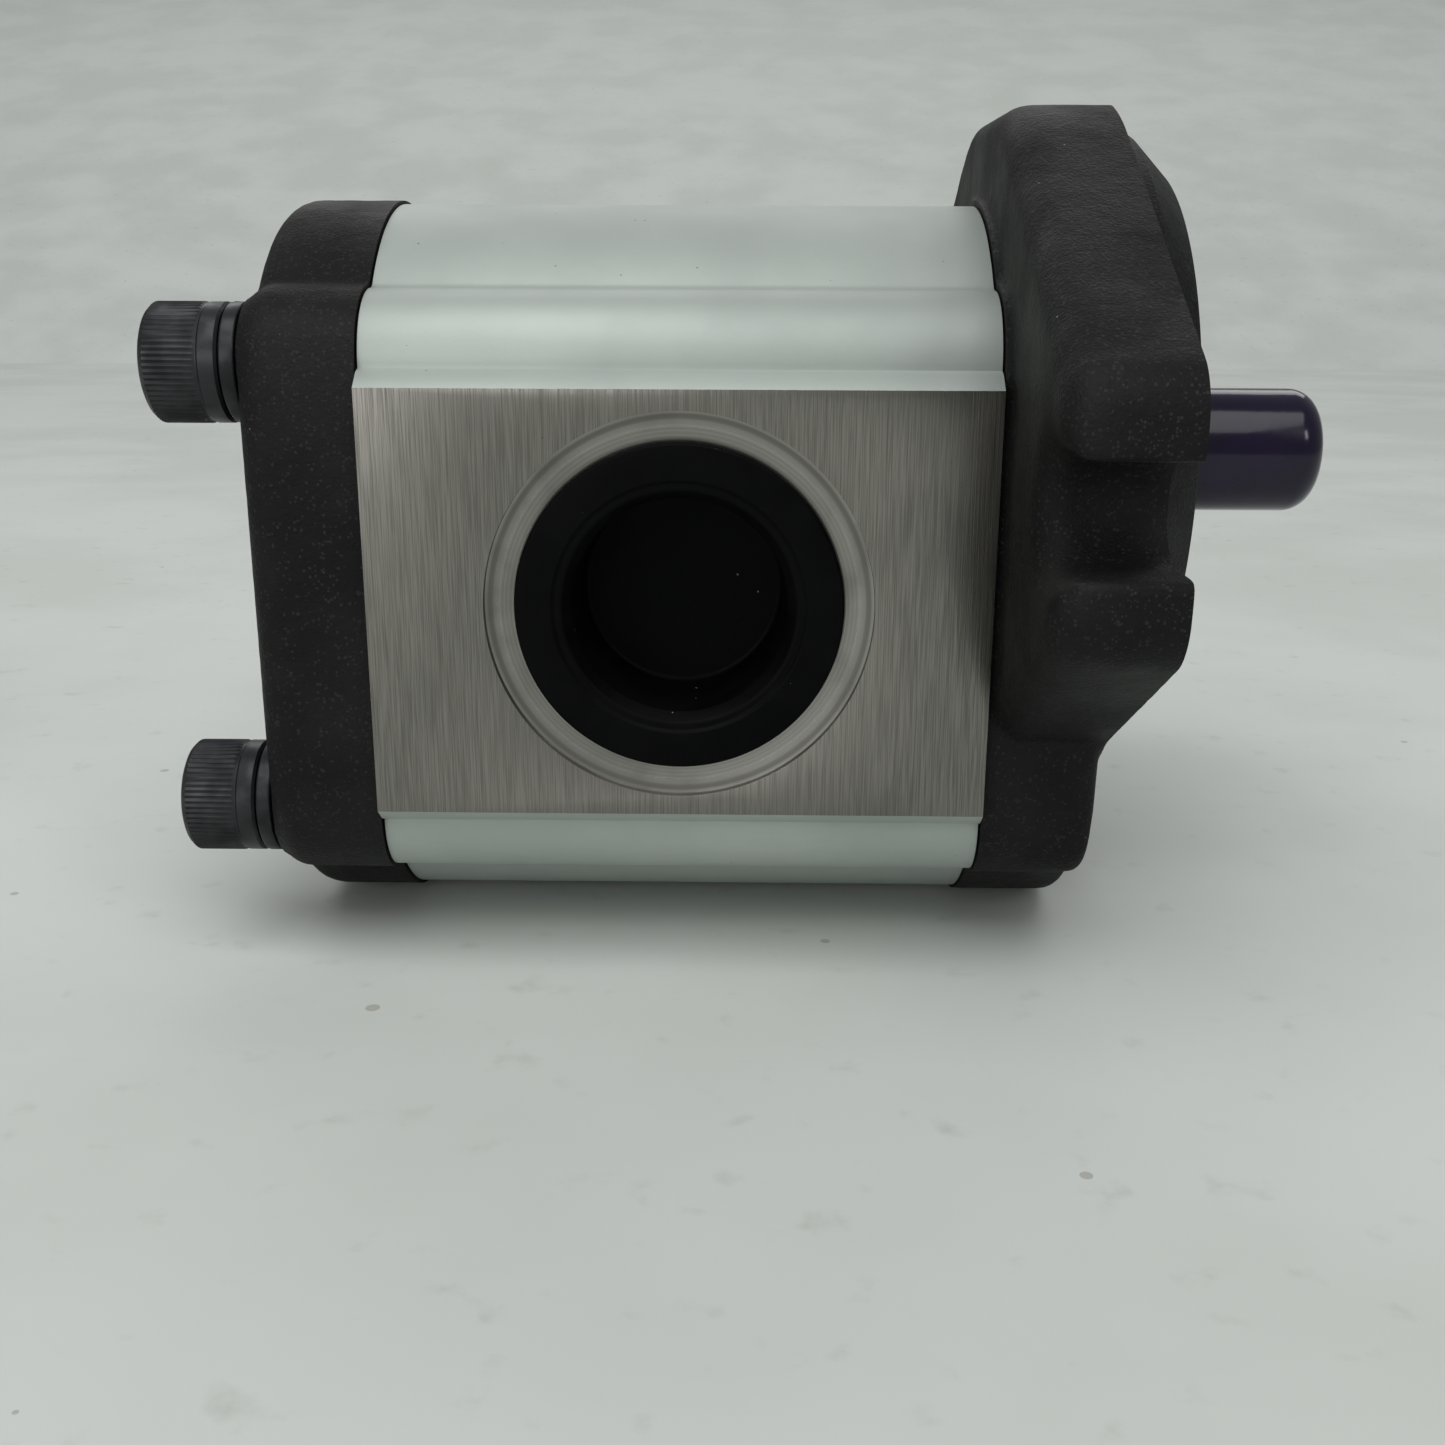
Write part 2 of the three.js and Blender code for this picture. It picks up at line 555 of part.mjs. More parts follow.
/** A bearing block; facing is +1 for the front one, whose seal side looks towards +X. */
function makeBearingBlock(facing) {
  const gearSide = facing > 0 ? GEAR_FRONT + GEAR_SIDE_GAP : GEAR_REAR - GEAR_SIDE_GAP;
  const sealSide = gearSide + facing * BLOCK_LENGTH;
  const span = [gearSide, sealSide].sort((a, b) => a - b);
  const wide = GEAR_PLACES.map(([y, z]) => rod(BLOCK_RADIUS, span[0], span[1], y, z, 40));
  const past = 1;
  const holeEnds = [span[0] - past, span[1] + past];
  const bushHoles = GEAR_PLACES.map(([y, z]) => rod(BUSH_OUTER + SEAT_GAP, ...holeEnds, y, z));
  const sealFloor = sealSide - facing * (PRESSURE_SEAL_DEPTH + BACKUP_DEPTH + 2 * SEAT_GAP);
  const groove = [sealFloor, sealSide + facing * past].sort((a, b) => a - b);
  const relief = [gearSide - facing * past, gearSide + facing * RELIEF_DEPTH].sort((a, b) => a - b);
  const reliefs = [-1, 1].map((side) => {
    const across = [side * 3, side * BLOCK_RADIUS].sort((a, b) => a - b);
    return block([relief[0], across[0], -2.2], [relief[1], across[1], 2.2]);
  });
  return cut(join(wide), [...bushHoles, pressureSealRing(groove[0], groove[1], SEAT_GAP), ...reliefs]);
}

/** A split bush, lined up with its bearing block. */
function makeBush() {
  return rod(BUSH_OUTER, 0, BLOCK_LENGTH - SEAT_GAP).subtract(rod(BUSH_INNER, -1, BLOCK_LENGTH + 1));
}

/** The shaft's lip seal: a case with a channel that opens towards the pump. */
function makeShaftSeal() {
  const outer = SEAL_POCKET_RADIUS - SEAT_GAP;
  const lip = SEAL_LAND_RADIUS + SEAL_LIP_GAP;
  const wall = 1.6;
  return turned([
    [0, outer],
    [0, outer - wall],
    [SHAFT_SEAL_WIDTH - wall, outer - wall],
    [SHAFT_SEAL_WIDTH - wall, lip + 2 * wall],
    [wall, lip + 2 * wall],
    [wall / 2, lip],
    [SHAFT_SEAL_WIDTH - wall, lip + wall],
    [SHAFT_SEAL_WIDTH, lip + wall],
    [SHAFT_SEAL_WIDTH, outer],
    [0, outer],
  ], 28);
}

/** The circlip that holds the lip seal, with a gap and two eyes for pliers. */
function makeRetainingRing() {
  const outer = SEAL_POCKET_RADIUS + CLIP_GROOVE - SEAT_GAP;
  const gapAngle = 16;
  const ring = [
    ...arc(0, 0, outer, -90 + gapAngle, 270 - gapAngle, 24),
    ...arc(0, 0, outer - CLIP_BAND, 270 - gapAngle, -90 + gapAngle, 24),
  ];
  const eyeRadius = 2;
  const eyeCentre = outer - CLIP_BAND;
  const eyes = [-90 + gapAngle, 270 - gapAngle].map((angle) => arc(0, 0, eyeCentre, angle, angle, 1)[0]);
  const band = prism(new THREE.Shape(ring), 0, CLIP_THICKNESS);
  const lugs = eyes.map((eye) => rod(eyeRadius, 0, CLIP_THICKNESS, eye.x, eye.y, 12));
  const holes = eyes.map((eye) => rod(eyeRadius / 2, -1, CLIP_THICKNESS + 1, eye.x, eye.y, 8));
  return cut(join([band, ...lugs]), holes);
}

// ---------- Fasteners, plugs and cap ----------

/** A socket head screw along +X, with its bearing face at x = 0. */
function makeScrew() {
  const edge = 1.2;
  const top = -HEAD_HEIGHT;
  const groove = 0.5;
  const head = turned([
    [top, 0],
    [top, HEAD_RADIUS - edge],
    [top + edge, HEAD_RADIUS],
    [-HEAD_BAND - groove, HEAD_RADIUS],
    [-HEAD_BAND - groove / 2, HEAD_RADIUS - groove],
    [-HEAD_BAND, HEAD_RADIUS],
    [0, HEAD_RADIUS],
    [0, 0],
  ], 24);
  const end = CASTING_JOINT + THREAD_GRIP - HEAD_SEAT - 2 * SEAT_GAP;
  const shank = turned([
    [-SEAT_GAP, 0],
    [-SEAT_GAP, SCREW_RADIUS],
    [end - END_CHAMFER, SCREW_RADIUS],
    [end, SCREW_RADIUS - END_CHAMFER],
    [end, 0],
  ], 12);
  const socket = rod(SOCKET_FLATS / Math.sqrt(3), top - 1, top + SOCKET_DEPTH, 0, 0, 6);
  return head.add(shank).subtract(socket);
}

/** A split spring washer, from x = 0 along +X. */
function makeWasher() {
  const ring = rod(HEAD_RADIUS, 0, WASHER_THICKNESS).subtract(
    rod(SCREW_HOLE, -1, WASHER_THICKNESS + 1, 0, 0, 16),
  );
  const half = WASHER_SPLIT / 2;
  const lean = 20;
  const split = block([-2, -half, 0], [WASHER_THICKNESS + 2, half, 2 * HEAD_RADIUS]);
  return ring.subtract(split.translate([-WASHER_THICKNESS / 2, 0, 0]).rotate([0, 0, lean])
    .translate([WASHER_THICKNESS / 2, 0, 0]));
}

/** A dowel pin, centred on its middle. */
function makeDowel() {
  const half = DOWEL_DEPTH - SEAT_GAP;
  const edge = 0.6;
  return turned([
    [-half, 0],
    [-half, DOWEL_RADIUS - edge],
    [edge - half, DOWEL_RADIUS],
    [half - edge, DOWEL_RADIUS],
    [half, DOWEL_RADIUS - edge],
    [half, 0],
  ], 10);
}

/** A hollow port plug in its port's frame: +X out of the pump, the pad's face at x = 0. */
function makePlug(port) {
  const under = -SPOTFACE_DEPTH + SEAT_GAP;
  const top = under + RIM_THICKNESS;
  const bottom = -PORT_DEPTH + SEAT_GAP;
  const barrel = port.thread - SEAT_GAP;
  const hole = barrel - PLUG_WALL;
  const edge = 0.5;
  return turned([
    [bottom, 0],
    [bottom, barrel - END_CHAMFER],
    [bottom + END_CHAMFER, barrel],
    [under, barrel],
    [under, port.rim],
    [top - edge, port.rim],
    [top, port.rim - edge],
    [top, hole + PLUG_WALL - edge],
    [top - edge, hole + edge],
    [top - 2 * edge, hole],
    [bottom + PLUG_FLOOR, hole],
    [bottom + PLUG_FLOOR, 0],
  ], 36);
}

/** The soft cap over the splined shaft end, open towards the pump. */
function makeShaftCap() {
  const inner = SPLINE_RADIUS + SEAT_GAP;
  const outer = inner + CAP_WALL;
  const inside = SHAFT_END + SEAT_GAP;
  const end = inside + CAP_FLOOR;
  const lip = [[CAP_START, inner], [CAP_START, outer]];
  const dome = arc(end - CAP_ROUNDING, outer - CAP_ROUNDING, CAP_ROUNDING, 90, 0, 4).map((p) => [p.x, p.y]);
  const lining = [[inside, 0], [inside, inner - END_CHAMFER], [inside - END_CHAMFER, inner]];
  return turned([...lip, ...dome, [end, 0], ...lining, lip[0]], 24);
}

// ---------- Scene ----------

const FINISHES = {
  extrusion: { color: 0xaab4ad, roughness: 0.45, metalness: 0.85 },
  casting: { color: 0x1d1d1c, roughness: 0.75, metalness: 0.3 },
  steel: { color: 0x9a9a98, roughness: 0.3, metalness: 1 },
  alloy: { color: 0xb9b7ad, roughness: 0.4, metalness: 0.9 },
  bronze: { color: 0xa9814a, roughness: 0.4, metalness: 0.9 },
  rubber: { color: 0x161616, roughness: 0.8, metalness: 0 },
  polymer: { color: 0xd8d2c0, roughness: 0.6, metalness: 0 },
  blackOxide: { color: 0x23262a, roughness: 0.4, metalness: 0.8 },
  plugPlastic: { color: 0x0d0e10, roughness: 0.55, metalness: 0 },
  vinyl: { color: 0x241a38, roughness: 0.2, metalness: 0 },
};

/** A named mesh of a solid, at a place in its group. */
function piece(name, solid, finish, place = [0, 0, 0]) {
  const mesh = new THREE.Mesh(toGeometry(solid), new THREE.MeshStandardMaterial(FINISHES[finish]));
  mesh.name = name;
  mesh.position.set(...place);
  return mesh;
}

/** A port plug's mesh, turned to its port on the body. */
function plugPiece(name, port) {
  const mesh = piece(name, makePlug(port), 'plugPlastic', [PORT_X, (port.side * BODY_WIDTH) / 2, 0]);
  mesh.rotation.z = (Math.PI / 2) * port.side;
  return mesh;
}

/** Bearing block, bushes and seals at one end; facing is +1 at the front and -1 at the rear. */
function bearingPieces(end, facing) {
  const gearSide = facing > 0 ? GEAR_FRONT + GEAR_SIDE_GAP : GEAR_REAR - GEAR_SIDE_GAP;
  const sealSide = gearSide + facing * BLOCK_LENGTH;
  const bodyEnd = facing > 0 ? BODY_FRONT : BODY_REAR;
  const backupFar = sealSide - facing * SEAT_GAP;
  const backupNear = backupFar - facing * BACKUP_DEPTH;
  const sealFar = backupNear - facing * SEAT_GAP;
  const sealNear = sealFar - facing * PRESSURE_SEAL_DEPTH + facing * SEAT_GAP;
  const ordered = (a, b) => (a < b ? [a, b] : [b, a]);
  const ringFar = bodyEnd - facing * SEAT_GAP;
  const ring = ordered(ringFar - facing * (BODY_SEAL_DEPTH - SEAT_GAP), ringFar);
  const bushStart = Math.min(gearSide, sealSide) + SEAT_GAP / 2;
  const bushes = [['drive', GEAR_Z], ['driven', -GEAR_Z]].map(([shaft, z]) => (
    piece(`${end}_${shaft}_bush`, makeBush(), 'bronze', [bushStart, 0, z])
  ));
  return [
    piece(`${end}_bearing_block`, makeBearingBlock(facing), 'alloy'),
    ...bushes,
    piece(`${end}_pressure_seal`, pressureSealRing(...ordered(sealNear, sealFar), 0), 'rubber'),
    piece(`${end}_backup_ring`, pressureSealRing(...ordered(backupNear, backupFar), 0), 'polymer'),
    piece(`${end}_body_seal`, bodySealRing(ring[0], ring[1], 0), 'rubber'),
  ];
}

/** Screws with their washers, numbered from the upper one on the suction side. */
function screwPieces() {
  return SCREW_PLACES.flatMap(([y, z], i) => [
    piece(`socket_screw_${i + 1}`, makeScrew(), 'blackOxide', [HEAD_SEAT, y, z]),
    piece(`spring_washer_${i + 1}`, makeWasher(), 'blackOxide', [HEAD_SEAT + SEAT_GAP, y, z]),
  ]);
}

/** Two dowel pins across each joint of the body. */
function dowelPieces() {
  const joints = [['front', (BODY_FRONT + CASTING_JOINT) / 2], ['rear', (BODY_REAR + COVER_FRONT) / 2]];
  return joints.flatMap(([end, x]) => DOWEL_PLACES.map(([y, z], i) => (
    piece(`${end}_dowel_${i + 1}`, makeDowel(), 'steel', [x, y, z])
  )));
}

function makeHousing() {
  const housing = new THREE.Group();
  housing.position.z = -GEAR_Z;
  housing.add(piece('body', makeBody(), 'extrusion'));
  housing.add(piece('front_flange', makeFrontFlange(), 'casting'));
  housing.add(piece('rear_cover', makeRearCover(), 'casting'));
  housing.add(...bearingPieces('front', 1), ...bearingPieces('rear', -1));
  housing.add(...screwPieces(), ...dowelPieces());
  housing.add(plugPiece('suction_port_plug', SUCTION_PORT));
  housing.add(plugPiece('pressure_port_plug', PRESSURE_PORT));
  return housing;
}

function makePump() {
  const pump = new THREE.Group();
  pump.add(makeHousing());
  pump.add(piece('drive_gear_shaft', makeDriveGearShaft(), 'steel'));
  pump.add(piece('driven_gear_shaft', makeDrivenGearShaft(), 'steel', [0, 0, -GEAR_CENTRES]));
  pump.add(piece('shaft_seal', makeShaftSeal(), 'rubber', [SHAFT_SEAL_X, 0, 0]));
  pump.add(piece('retaining_ring', makeRetainingRing(), 'steel', [CLIP_X, 0, 0]));
  pump.add(piece('shaft_cap', makeShaftCap(), 'vinyl'));
  return pump;
}

export default makePump();
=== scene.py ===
"""External gear pump: its visible pieces and finishes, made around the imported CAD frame.

Sizes are millimetres in the row frame: +X runs out of the drive end, -Y is the suction side and
+Z runs from the driven gear to the drive gear. Workpiece turns them into metres.
"""

import json
import logging
import math
from collections.abc import Callable, Iterable, Sequence
from dataclasses import dataclass, field
from enum import Enum

import bmesh
import bpy
from mathutils import Matrix, Vector

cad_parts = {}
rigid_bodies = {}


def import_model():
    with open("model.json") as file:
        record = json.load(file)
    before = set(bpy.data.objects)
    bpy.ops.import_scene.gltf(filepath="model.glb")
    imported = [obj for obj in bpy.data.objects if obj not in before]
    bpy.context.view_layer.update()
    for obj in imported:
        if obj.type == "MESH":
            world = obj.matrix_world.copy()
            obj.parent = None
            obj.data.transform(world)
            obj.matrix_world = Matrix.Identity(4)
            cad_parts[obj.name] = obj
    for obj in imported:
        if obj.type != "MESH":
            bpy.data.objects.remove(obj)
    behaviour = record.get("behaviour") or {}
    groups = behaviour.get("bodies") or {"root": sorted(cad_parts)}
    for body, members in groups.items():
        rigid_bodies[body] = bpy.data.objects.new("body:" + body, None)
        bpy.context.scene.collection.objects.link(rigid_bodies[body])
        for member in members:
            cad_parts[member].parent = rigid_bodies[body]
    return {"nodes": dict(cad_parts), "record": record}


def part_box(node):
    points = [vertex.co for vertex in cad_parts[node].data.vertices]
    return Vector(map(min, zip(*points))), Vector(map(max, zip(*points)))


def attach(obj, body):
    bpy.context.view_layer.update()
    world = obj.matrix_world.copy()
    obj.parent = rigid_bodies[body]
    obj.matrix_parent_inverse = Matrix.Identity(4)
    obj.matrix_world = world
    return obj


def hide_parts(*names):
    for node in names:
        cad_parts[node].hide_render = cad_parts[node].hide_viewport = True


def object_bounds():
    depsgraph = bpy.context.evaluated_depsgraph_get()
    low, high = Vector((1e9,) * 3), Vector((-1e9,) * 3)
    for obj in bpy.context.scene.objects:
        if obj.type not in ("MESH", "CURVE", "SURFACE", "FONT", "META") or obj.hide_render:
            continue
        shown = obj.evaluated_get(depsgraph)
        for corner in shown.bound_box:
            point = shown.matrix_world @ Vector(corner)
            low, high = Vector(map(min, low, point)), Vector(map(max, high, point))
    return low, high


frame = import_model()
CAD_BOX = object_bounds()

MM = 0.001
HOLE_SIDES = 40
PAST = 1.0
log = logging.getLogger("gear_pump")

Profile = list[tuple[float, float]]
Colour = tuple[float, float, float]
Where = Callable[[Vector, Vector], bool]


# ---------------------------------------------------------------- measuring


class Axis(Enum):
    """The direction that a turned piece or tool lies along."""

    X = (1.0, 0.0, 0.0)
    Y = (0.0, 1.0, 0.0)
    MINUS_Y = (0.0, -1.0, 0.0)

    @property
    def vector(self) -> Vector:
        """The axis as a unit vector."""
        return Vector(self.value)

    @property
    def across(self) -> Vector:
        """A unit vector square to the axis, in which profiles are drawn."""
        return Vector((0.0, 0.0, 1.0))


class Combining(Enum):
    """What a tool does to a piece."""

    JOIN = "UNION"
    CUT = "DIFFERENCE"


@dataclass(frozen=True)
class Bulk:
    """How big a mesh is: its volume and its box's diagonal, in metres."""

    volume: float
    reach: float


@dataclass(frozen=True)
class NodeBox:
    """A CAD node's box at rest, in millimetres."""

    low: Vector
    high: Vector

    @classmethod
    def of(cls, node: str) -> "NodeBox":
        """Measures a node.

        Args:
            node: The CAD node's name.

        Returns:
            Its box.
        """
        low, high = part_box(node)
        return cls(low / MM, high / MM)

    @property
    def centre(self) -> Vector:
        """The middle of the box."""
        return (self.low + self.high) / 2

    @property
    def size(self) -> Vector:
        """The box's three sizes."""
        return self.high - self.low


def rounded(corners: Sequence[tuple[float, float, float]], steps: int = 5) -> Profile:
    """Rounds the corners of a profile.

    Args:
        corners: Points as (along, radius, rounding).
        steps: Facets in each rounding.

    Returns:
        The profile's points, as (along, radius).
    """
    points: Profile = []
    for index, (along, radius, rounding) in enumerate(corners):
        here = Vector((along, radius))
        if rounding <= 0 or index in (0, len(corners) - 1):
            points.append((along, radius))
            continue
        back = (Vector(corners[index - 1][:2]) - here).normalized()
        ahead = (Vector(corners[index + 1][:2]) - here).normalized()
        half = back.angle(ahead) / 2
        centre = here + (back + ahead).normalized() * rounding / math.sin(half)
        start = here + back * rounding / math.tan(half) - centre
        end = here + ahead * rounding / math.tan(half) - centre
        for step in range(steps + 1):
            spot = centre + start.slerp(end, step / steps) * rounding
            points.append((spot.x, spot.y))
    return points


def arc(centre: Vector, radius: float, start: float, end: float, steps: int) -> list[Vector]:
    """Points on a circular arc.

    Args:
        centre: Its centre as (y, z).
        radius: Its radius.
        start: Its first angle in radians, from +Y towards +Z.
        end: Its last angle.
        steps: Chords in it.

    Returns:
        The points, both ends included.
    """
    angles = [start + (end - start) * step / steps for step in range(steps + 1)]
    return [centre + Vector((math.cos(angle), math.sin(angle))) * radius for angle in angles]


def crossing(first: Vector, first_radius: float, second: Vector, second_radius: float) -> Vector:
    """Finds where two circles cross, on the right of the way from the first to the second.

    Args:
        first: The first circle's centre.
        first_radius: Its radius.
        second: The second circle's centre.
        second_radius: Its radius.

    Returns:
        The crossing.
    """
    way = second - first
    apart = way.length
    along = (apart ** 2 + first_radius ** 2 - second_radius ** 2) / (2 * apart)
    aside = math.sqrt(first_radius ** 2 - along ** 2)
    forward = way / apart
    return first + forward * along + Vector((forward.y, -forward.x)) * aside


def angle_of(way: Vector) -> float:
    """The angle of a direction in radians, from +Y towards +Z."""
    return math.atan2(way.y, way.x)


# ---------------------------------------------------------------- the bench


def leave_selection() -> None:
    """Deselects everything, because operators act on all that is selected."""
    if bpy.context.object and bpy.context.object.mode != "OBJECT":
        bpy.ops.object.mode_set(mode="OBJECT")
    for obj in bpy.context.scene.objects:
        obj.select_set(False)


class Workpiece:
    """A mesh on the bench, shaped by operators and kept with its place in its mesh."""

    SOLVERS = ("EXACT", "MANIFOLD", "EXACT")
    SLACK = 1.002
    WELD = 0.002
    MILL_REACH = 200.0
    MILL_DEPTH = 30.0
    SMOOTHING = 0.5
    SMOOTHING_ROUNDS = 6
    SKIN_WAVE = 3.5

    def __init__(self, name: str) -> None:
        """Takes the object that a primitive operator has just added.

        Args:
            name: The piece's name.
        """
        self.obj: bpy.types.Object = bpy.context.object
        self.obj.name = name
        self.obj.data.name = name
        bpy.ops.object.transform_apply(location=True, rotation=True, scale=True)

    # -- starting shapes

    @classmethod
    def block(cls, name: str, low: Sequence[float], high: Sequence[float]) -> "Workpiece":
        """A block between two corners.

        Args:
            name: The piece's name.
            low: Its lowest corner.
            high: Its highest corner.

        Returns:
            The new piece.
        """
        leave_selection()
        size = Vector(high) - Vector(low)
        centre = (Vector(high) + Vector(low)) / 2
        bpy.ops.mesh.primitive_cube_add(size=1.0, location=centre * MM, scale=size * MM)
        return cls(name)

    @classmethod
    def rod(cls, name: str, radius: float, span: tuple[float, float],
            centre: tuple[float, float] = (0.0, 0.0), sides: int = 96) -> "Workpiece":
        """A rod along X.

        Args:
            name: The piece's name.
            radius: The rod's radius.
            span: Its two ends on X.
            centre: Its axis as (y, z).
            sides: Facets round it.

        Returns:
            The new piece.
        """
        leave_selection()
        middle = Vector(((span[0] + span[1]) / 2, *centre)) * MM
        bpy.ops.mesh.primitive_cylinder_add(
            vertices=sides, radius=radius * MM, depth=abs(span[1] - span[0]) * MM,
            location=middle, rotation=(0.0, math.pi / 2, 0.0))
        return cls(name)

    @classmethod
    def turned(cls, name: str, profile: Profile, centre: Sequence[float],
               axis: Axis = Axis.X, sides: int = 96) -> "Workpiece":
        """A turned piece: a vertex is extruded along a profile, which is spun about the axis.

        Args:
            name: The piece's name.
            profile: Points as (along, radius), which end on the axis or close on themselves.
            centre: A point on the axis, where along is 0.
            axis: The direction of the axis.
            sides: Facets round the piece.

        Returns:
            The new piece.
        """
        leave_selection()
        origin = Vector(centre)
        spots = [(origin + axis.vector * along + axis.across * radius) * MM
                 for along, radius in profile]
        bpy.ops.mesh.primitive_plane_add(size=MM, location=spots[0])
        piece = cls(name)
        bpy.context.tool_settings.mesh_select_mode = (True, False, False)
        bpy.ops.object.mode_set(mode="EDIT")
        bpy.ops.mesh.select_all(action="SELECT")
        bpy.ops.mesh.merge(type="CENTER")
        for before, after in zip(spots, spots[1:]):
            bpy.ops.mesh.extrude_vertices_move(TRANSFORM_OT_translate={"value": after - before})
        bpy.ops.mesh.select_all(action="SELECT")
        bpy.ops.mesh.spin(steps=sides, angle=math.tau, center=origin * MM, axis=axis.vector)
        bpy.ops.mesh.select_all(action="SELECT")
        bpy.ops.mesh.remove_doubles(threshold=cls.WELD * MM)
        bpy.ops.mesh.normals_make_consistent(inside=False)
        bpy.ops.object.mode_set(mode="OBJECT")
        return piece

    @classmethod
    def extruded(cls, name: str, outline: Sequence[Vector],
                 span: tuple[float, float]) -> "Workpiece":
        """An extruded piece: a vertex is extruded along an outline, which is filled and drawn out.

        Args:
            name: The piece's name.
            outline: Its corners as (y, z).
            span: Its two ends on X.

        Returns:
            The new piece.
        """
        leave_selection()
        spots = [Vector((span[0], spot.x, spot.y)) * MM for spot in outline]
        bpy.ops.mesh.primitive_plane_add(size=MM, location=spots[0])
        piece = cls(name)
        bpy.context.tool_settings.mesh_select_mode = (True, False, False)
        bpy.ops.object.mode_set(mode="EDIT")
        bpy.ops.mesh.select_all(action="SELECT")
        bpy.ops.mesh.merge(type="CENTER")
        for before, after in zip(spots, spots[1:]):
            bpy.ops.mesh.extrude_vertices_move(TRANSFORM_OT_translate={"value": after - before})
        bpy.ops.mesh.select_all(action="SELECT")
        bpy.ops.mesh.edge_face_add()
        bpy.ops.mesh.extrude_region_move(
            TRANSFORM_OT_translate={"value": Vector((span[1] - span[0], 0.0, 0.0)) * MM})
        bpy.ops.mesh.select_all(action="SELECT")
        bpy.ops.mesh.normals_make_consistent(inside=False)
        bpy.ops.object.mode_set(mode="OBJECT")
        return piece

    # -- shaping

    def make_active(self) -> None:
        """Selects this piece alone."""
        leave_selection()
        self.obj.select_set(True)
        bpy.context.view_layer.objects.active = self.obj

    def _modify(self, kind: str, **settings: object) -> None:
        """Adds a modifier, sets it up and applies it.

        Args:
            kind: The modifier's type.
            **settings: Its settings by name.
        """
        self.make_active()
        modifier = self.obj.modifiers.new(kind.lower(), kind)
        for key, value in settings.items():
            setattr(modifier, key, value)
        bpy.ops.object.modifier_apply(modifier=modifier.name)

    def _combine(self, other: "Workpiece", how: Combining) -> "Workpiece":
        """Joins or cuts with another piece, which is used up.

        A result of an impossible size is undone and made again.

        Args:
            other: The tool.
            how: Whether it is joined on or cut out.

        Returns:
            This piece.
        """
        before = self.obj.data.copy()
        own, tool = self.measure(), other.measure()
        for solver in self.SOLVERS:
            self._modify("BOOLEAN", object=other.obj, operation=how.value, solver=solver)
            if self._is_sound(own, tool, how):
                break
            log.warning("%s: %s by %s went wrong and is undone", self.obj.name, how.name, solver)
            self.obj.data = before.copy()
        bpy.data.meshes.remove(before)
        bpy.data.objects.remove(other.obj)
        return self

    def measure(self) -> Bulk:
        """Measures the piece.

        Returns:
            Its volume and reach.
        """
        solid = bmesh.new()
        solid.from_mesh(self.obj.data)
        volume = abs(solid.calc_volume(signed=True))
        low, high = (Vector([pick(vertex.co[axis] for vertex in solid.verts) for axis in range(3)])
                     for pick in (min, max))
        solid.free()
        return Bulk(volume, (high - low).length)

    def _is_sound(self, own: Bulk, tool: Bulk, how: Combining) -> bool:
        """Whether a joined or cut piece has a size it can have.

        Args:
            own: What the piece measured before.
            tool: What the tool measures.
            how: What the tool did.

        Returns:
            True when its volume and reach lie within what the two pieces allow.
        """
        if not self.obj.data.polygons:
            return False
        now = self.measure()
        if how is Combining.JOIN:
            least, most = max(own.volume, tool.volume), own.volume + tool.volume
            longest = own.reach + tool.reach
        else:
            least, most, longest = own.volume - tool.volume, own.volume, own.reach
        fits = least / self.SLACK <= now.volume <= most * self.SLACK
        return fits and now.reach <= longest * self.SLACK

    def join(self, *others: "Workpiece") -> "Workpiece":
        """Adds other pieces to this one.

        Args:
            *others: The pieces, which are used up.

        Returns:
            This piece.
        """
        for other in others:
            self._combine(other, Combining.JOIN)
        return self

    def gather(self, *others: "Workpiece") -> "Workpiece":
        """Puts other pieces into this one's mesh as they are, for casting into one.

        Args:
            *others: The pieces, which are used up.

        Returns:
            This piece.
        """
        self.make_active()
        for other in others:
            other.obj.select_set(True)
        bpy.ops.object.join()
        return self

    def cut(self, *tools: "Workpiece") -> "Workpiece":
        """Cuts this piece with tools.

        Args:
            *tools: The tools, which are used up.

        Returns:
            This piece.
        """
        for tool in tools:
            self._combine(tool, Combining.CUT)
        return self

    def select_edges(self, where: Where) -> None:
        """Selects edges in code, and leaves the piece in edit mode.

        Args:
            where: Tests an edge's middle in millimetres and its direction.
        """
        self.make_active()
        mesh = self.obj.data
        for item in (*mesh.vertices, *mesh.edges, *mesh.polygons):
            item.select = False
        for edge in mesh.edges:
            first, last = (mesh.vertices[i].co / MM for i in edge.vertices)
            edge.select = where((first + last) / 2, (last - first).normalized())
        bpy.context.tool_settings.mesh_select_mode = (False, True, False)
        bpy.ops.object.mode_set(mode="EDIT")

    def bevel_edges(self, width: float, segments: int, where: Where) -> "Workpiece":
        """Rounds the edges that a test picks.

        Args:
            width: The rounding's reach along each face.
            segments: Facets in it.
            where: Tests an edge's middle and direction.

        Returns:
            This piece.
        """
        self.select_edges(where)
        bpy.ops.mesh.bevel(offset=width * MM, segments=segments, affect="EDGES",
                           clamp_overlap=False)
        bpy.ops.object.mode_set(mode="OBJECT")
        return self

    def break_edges(self, width: float, angle: float = 35.0, segments: int = 2) -> "Workpiece":
        """Breaks every sharp edge.

        Args:
            width: The chamfer's width.
            angle: The least angle between faces, in degrees.
            segments: Facets in each.

        Returns:
            This piece.
        """
        self._modify("BEVEL", width=width * MM, segments=segments, limit_method="ANGLE",
                     angle_limit=math.radians(angle), use_clamp_overlap=True)
        return self

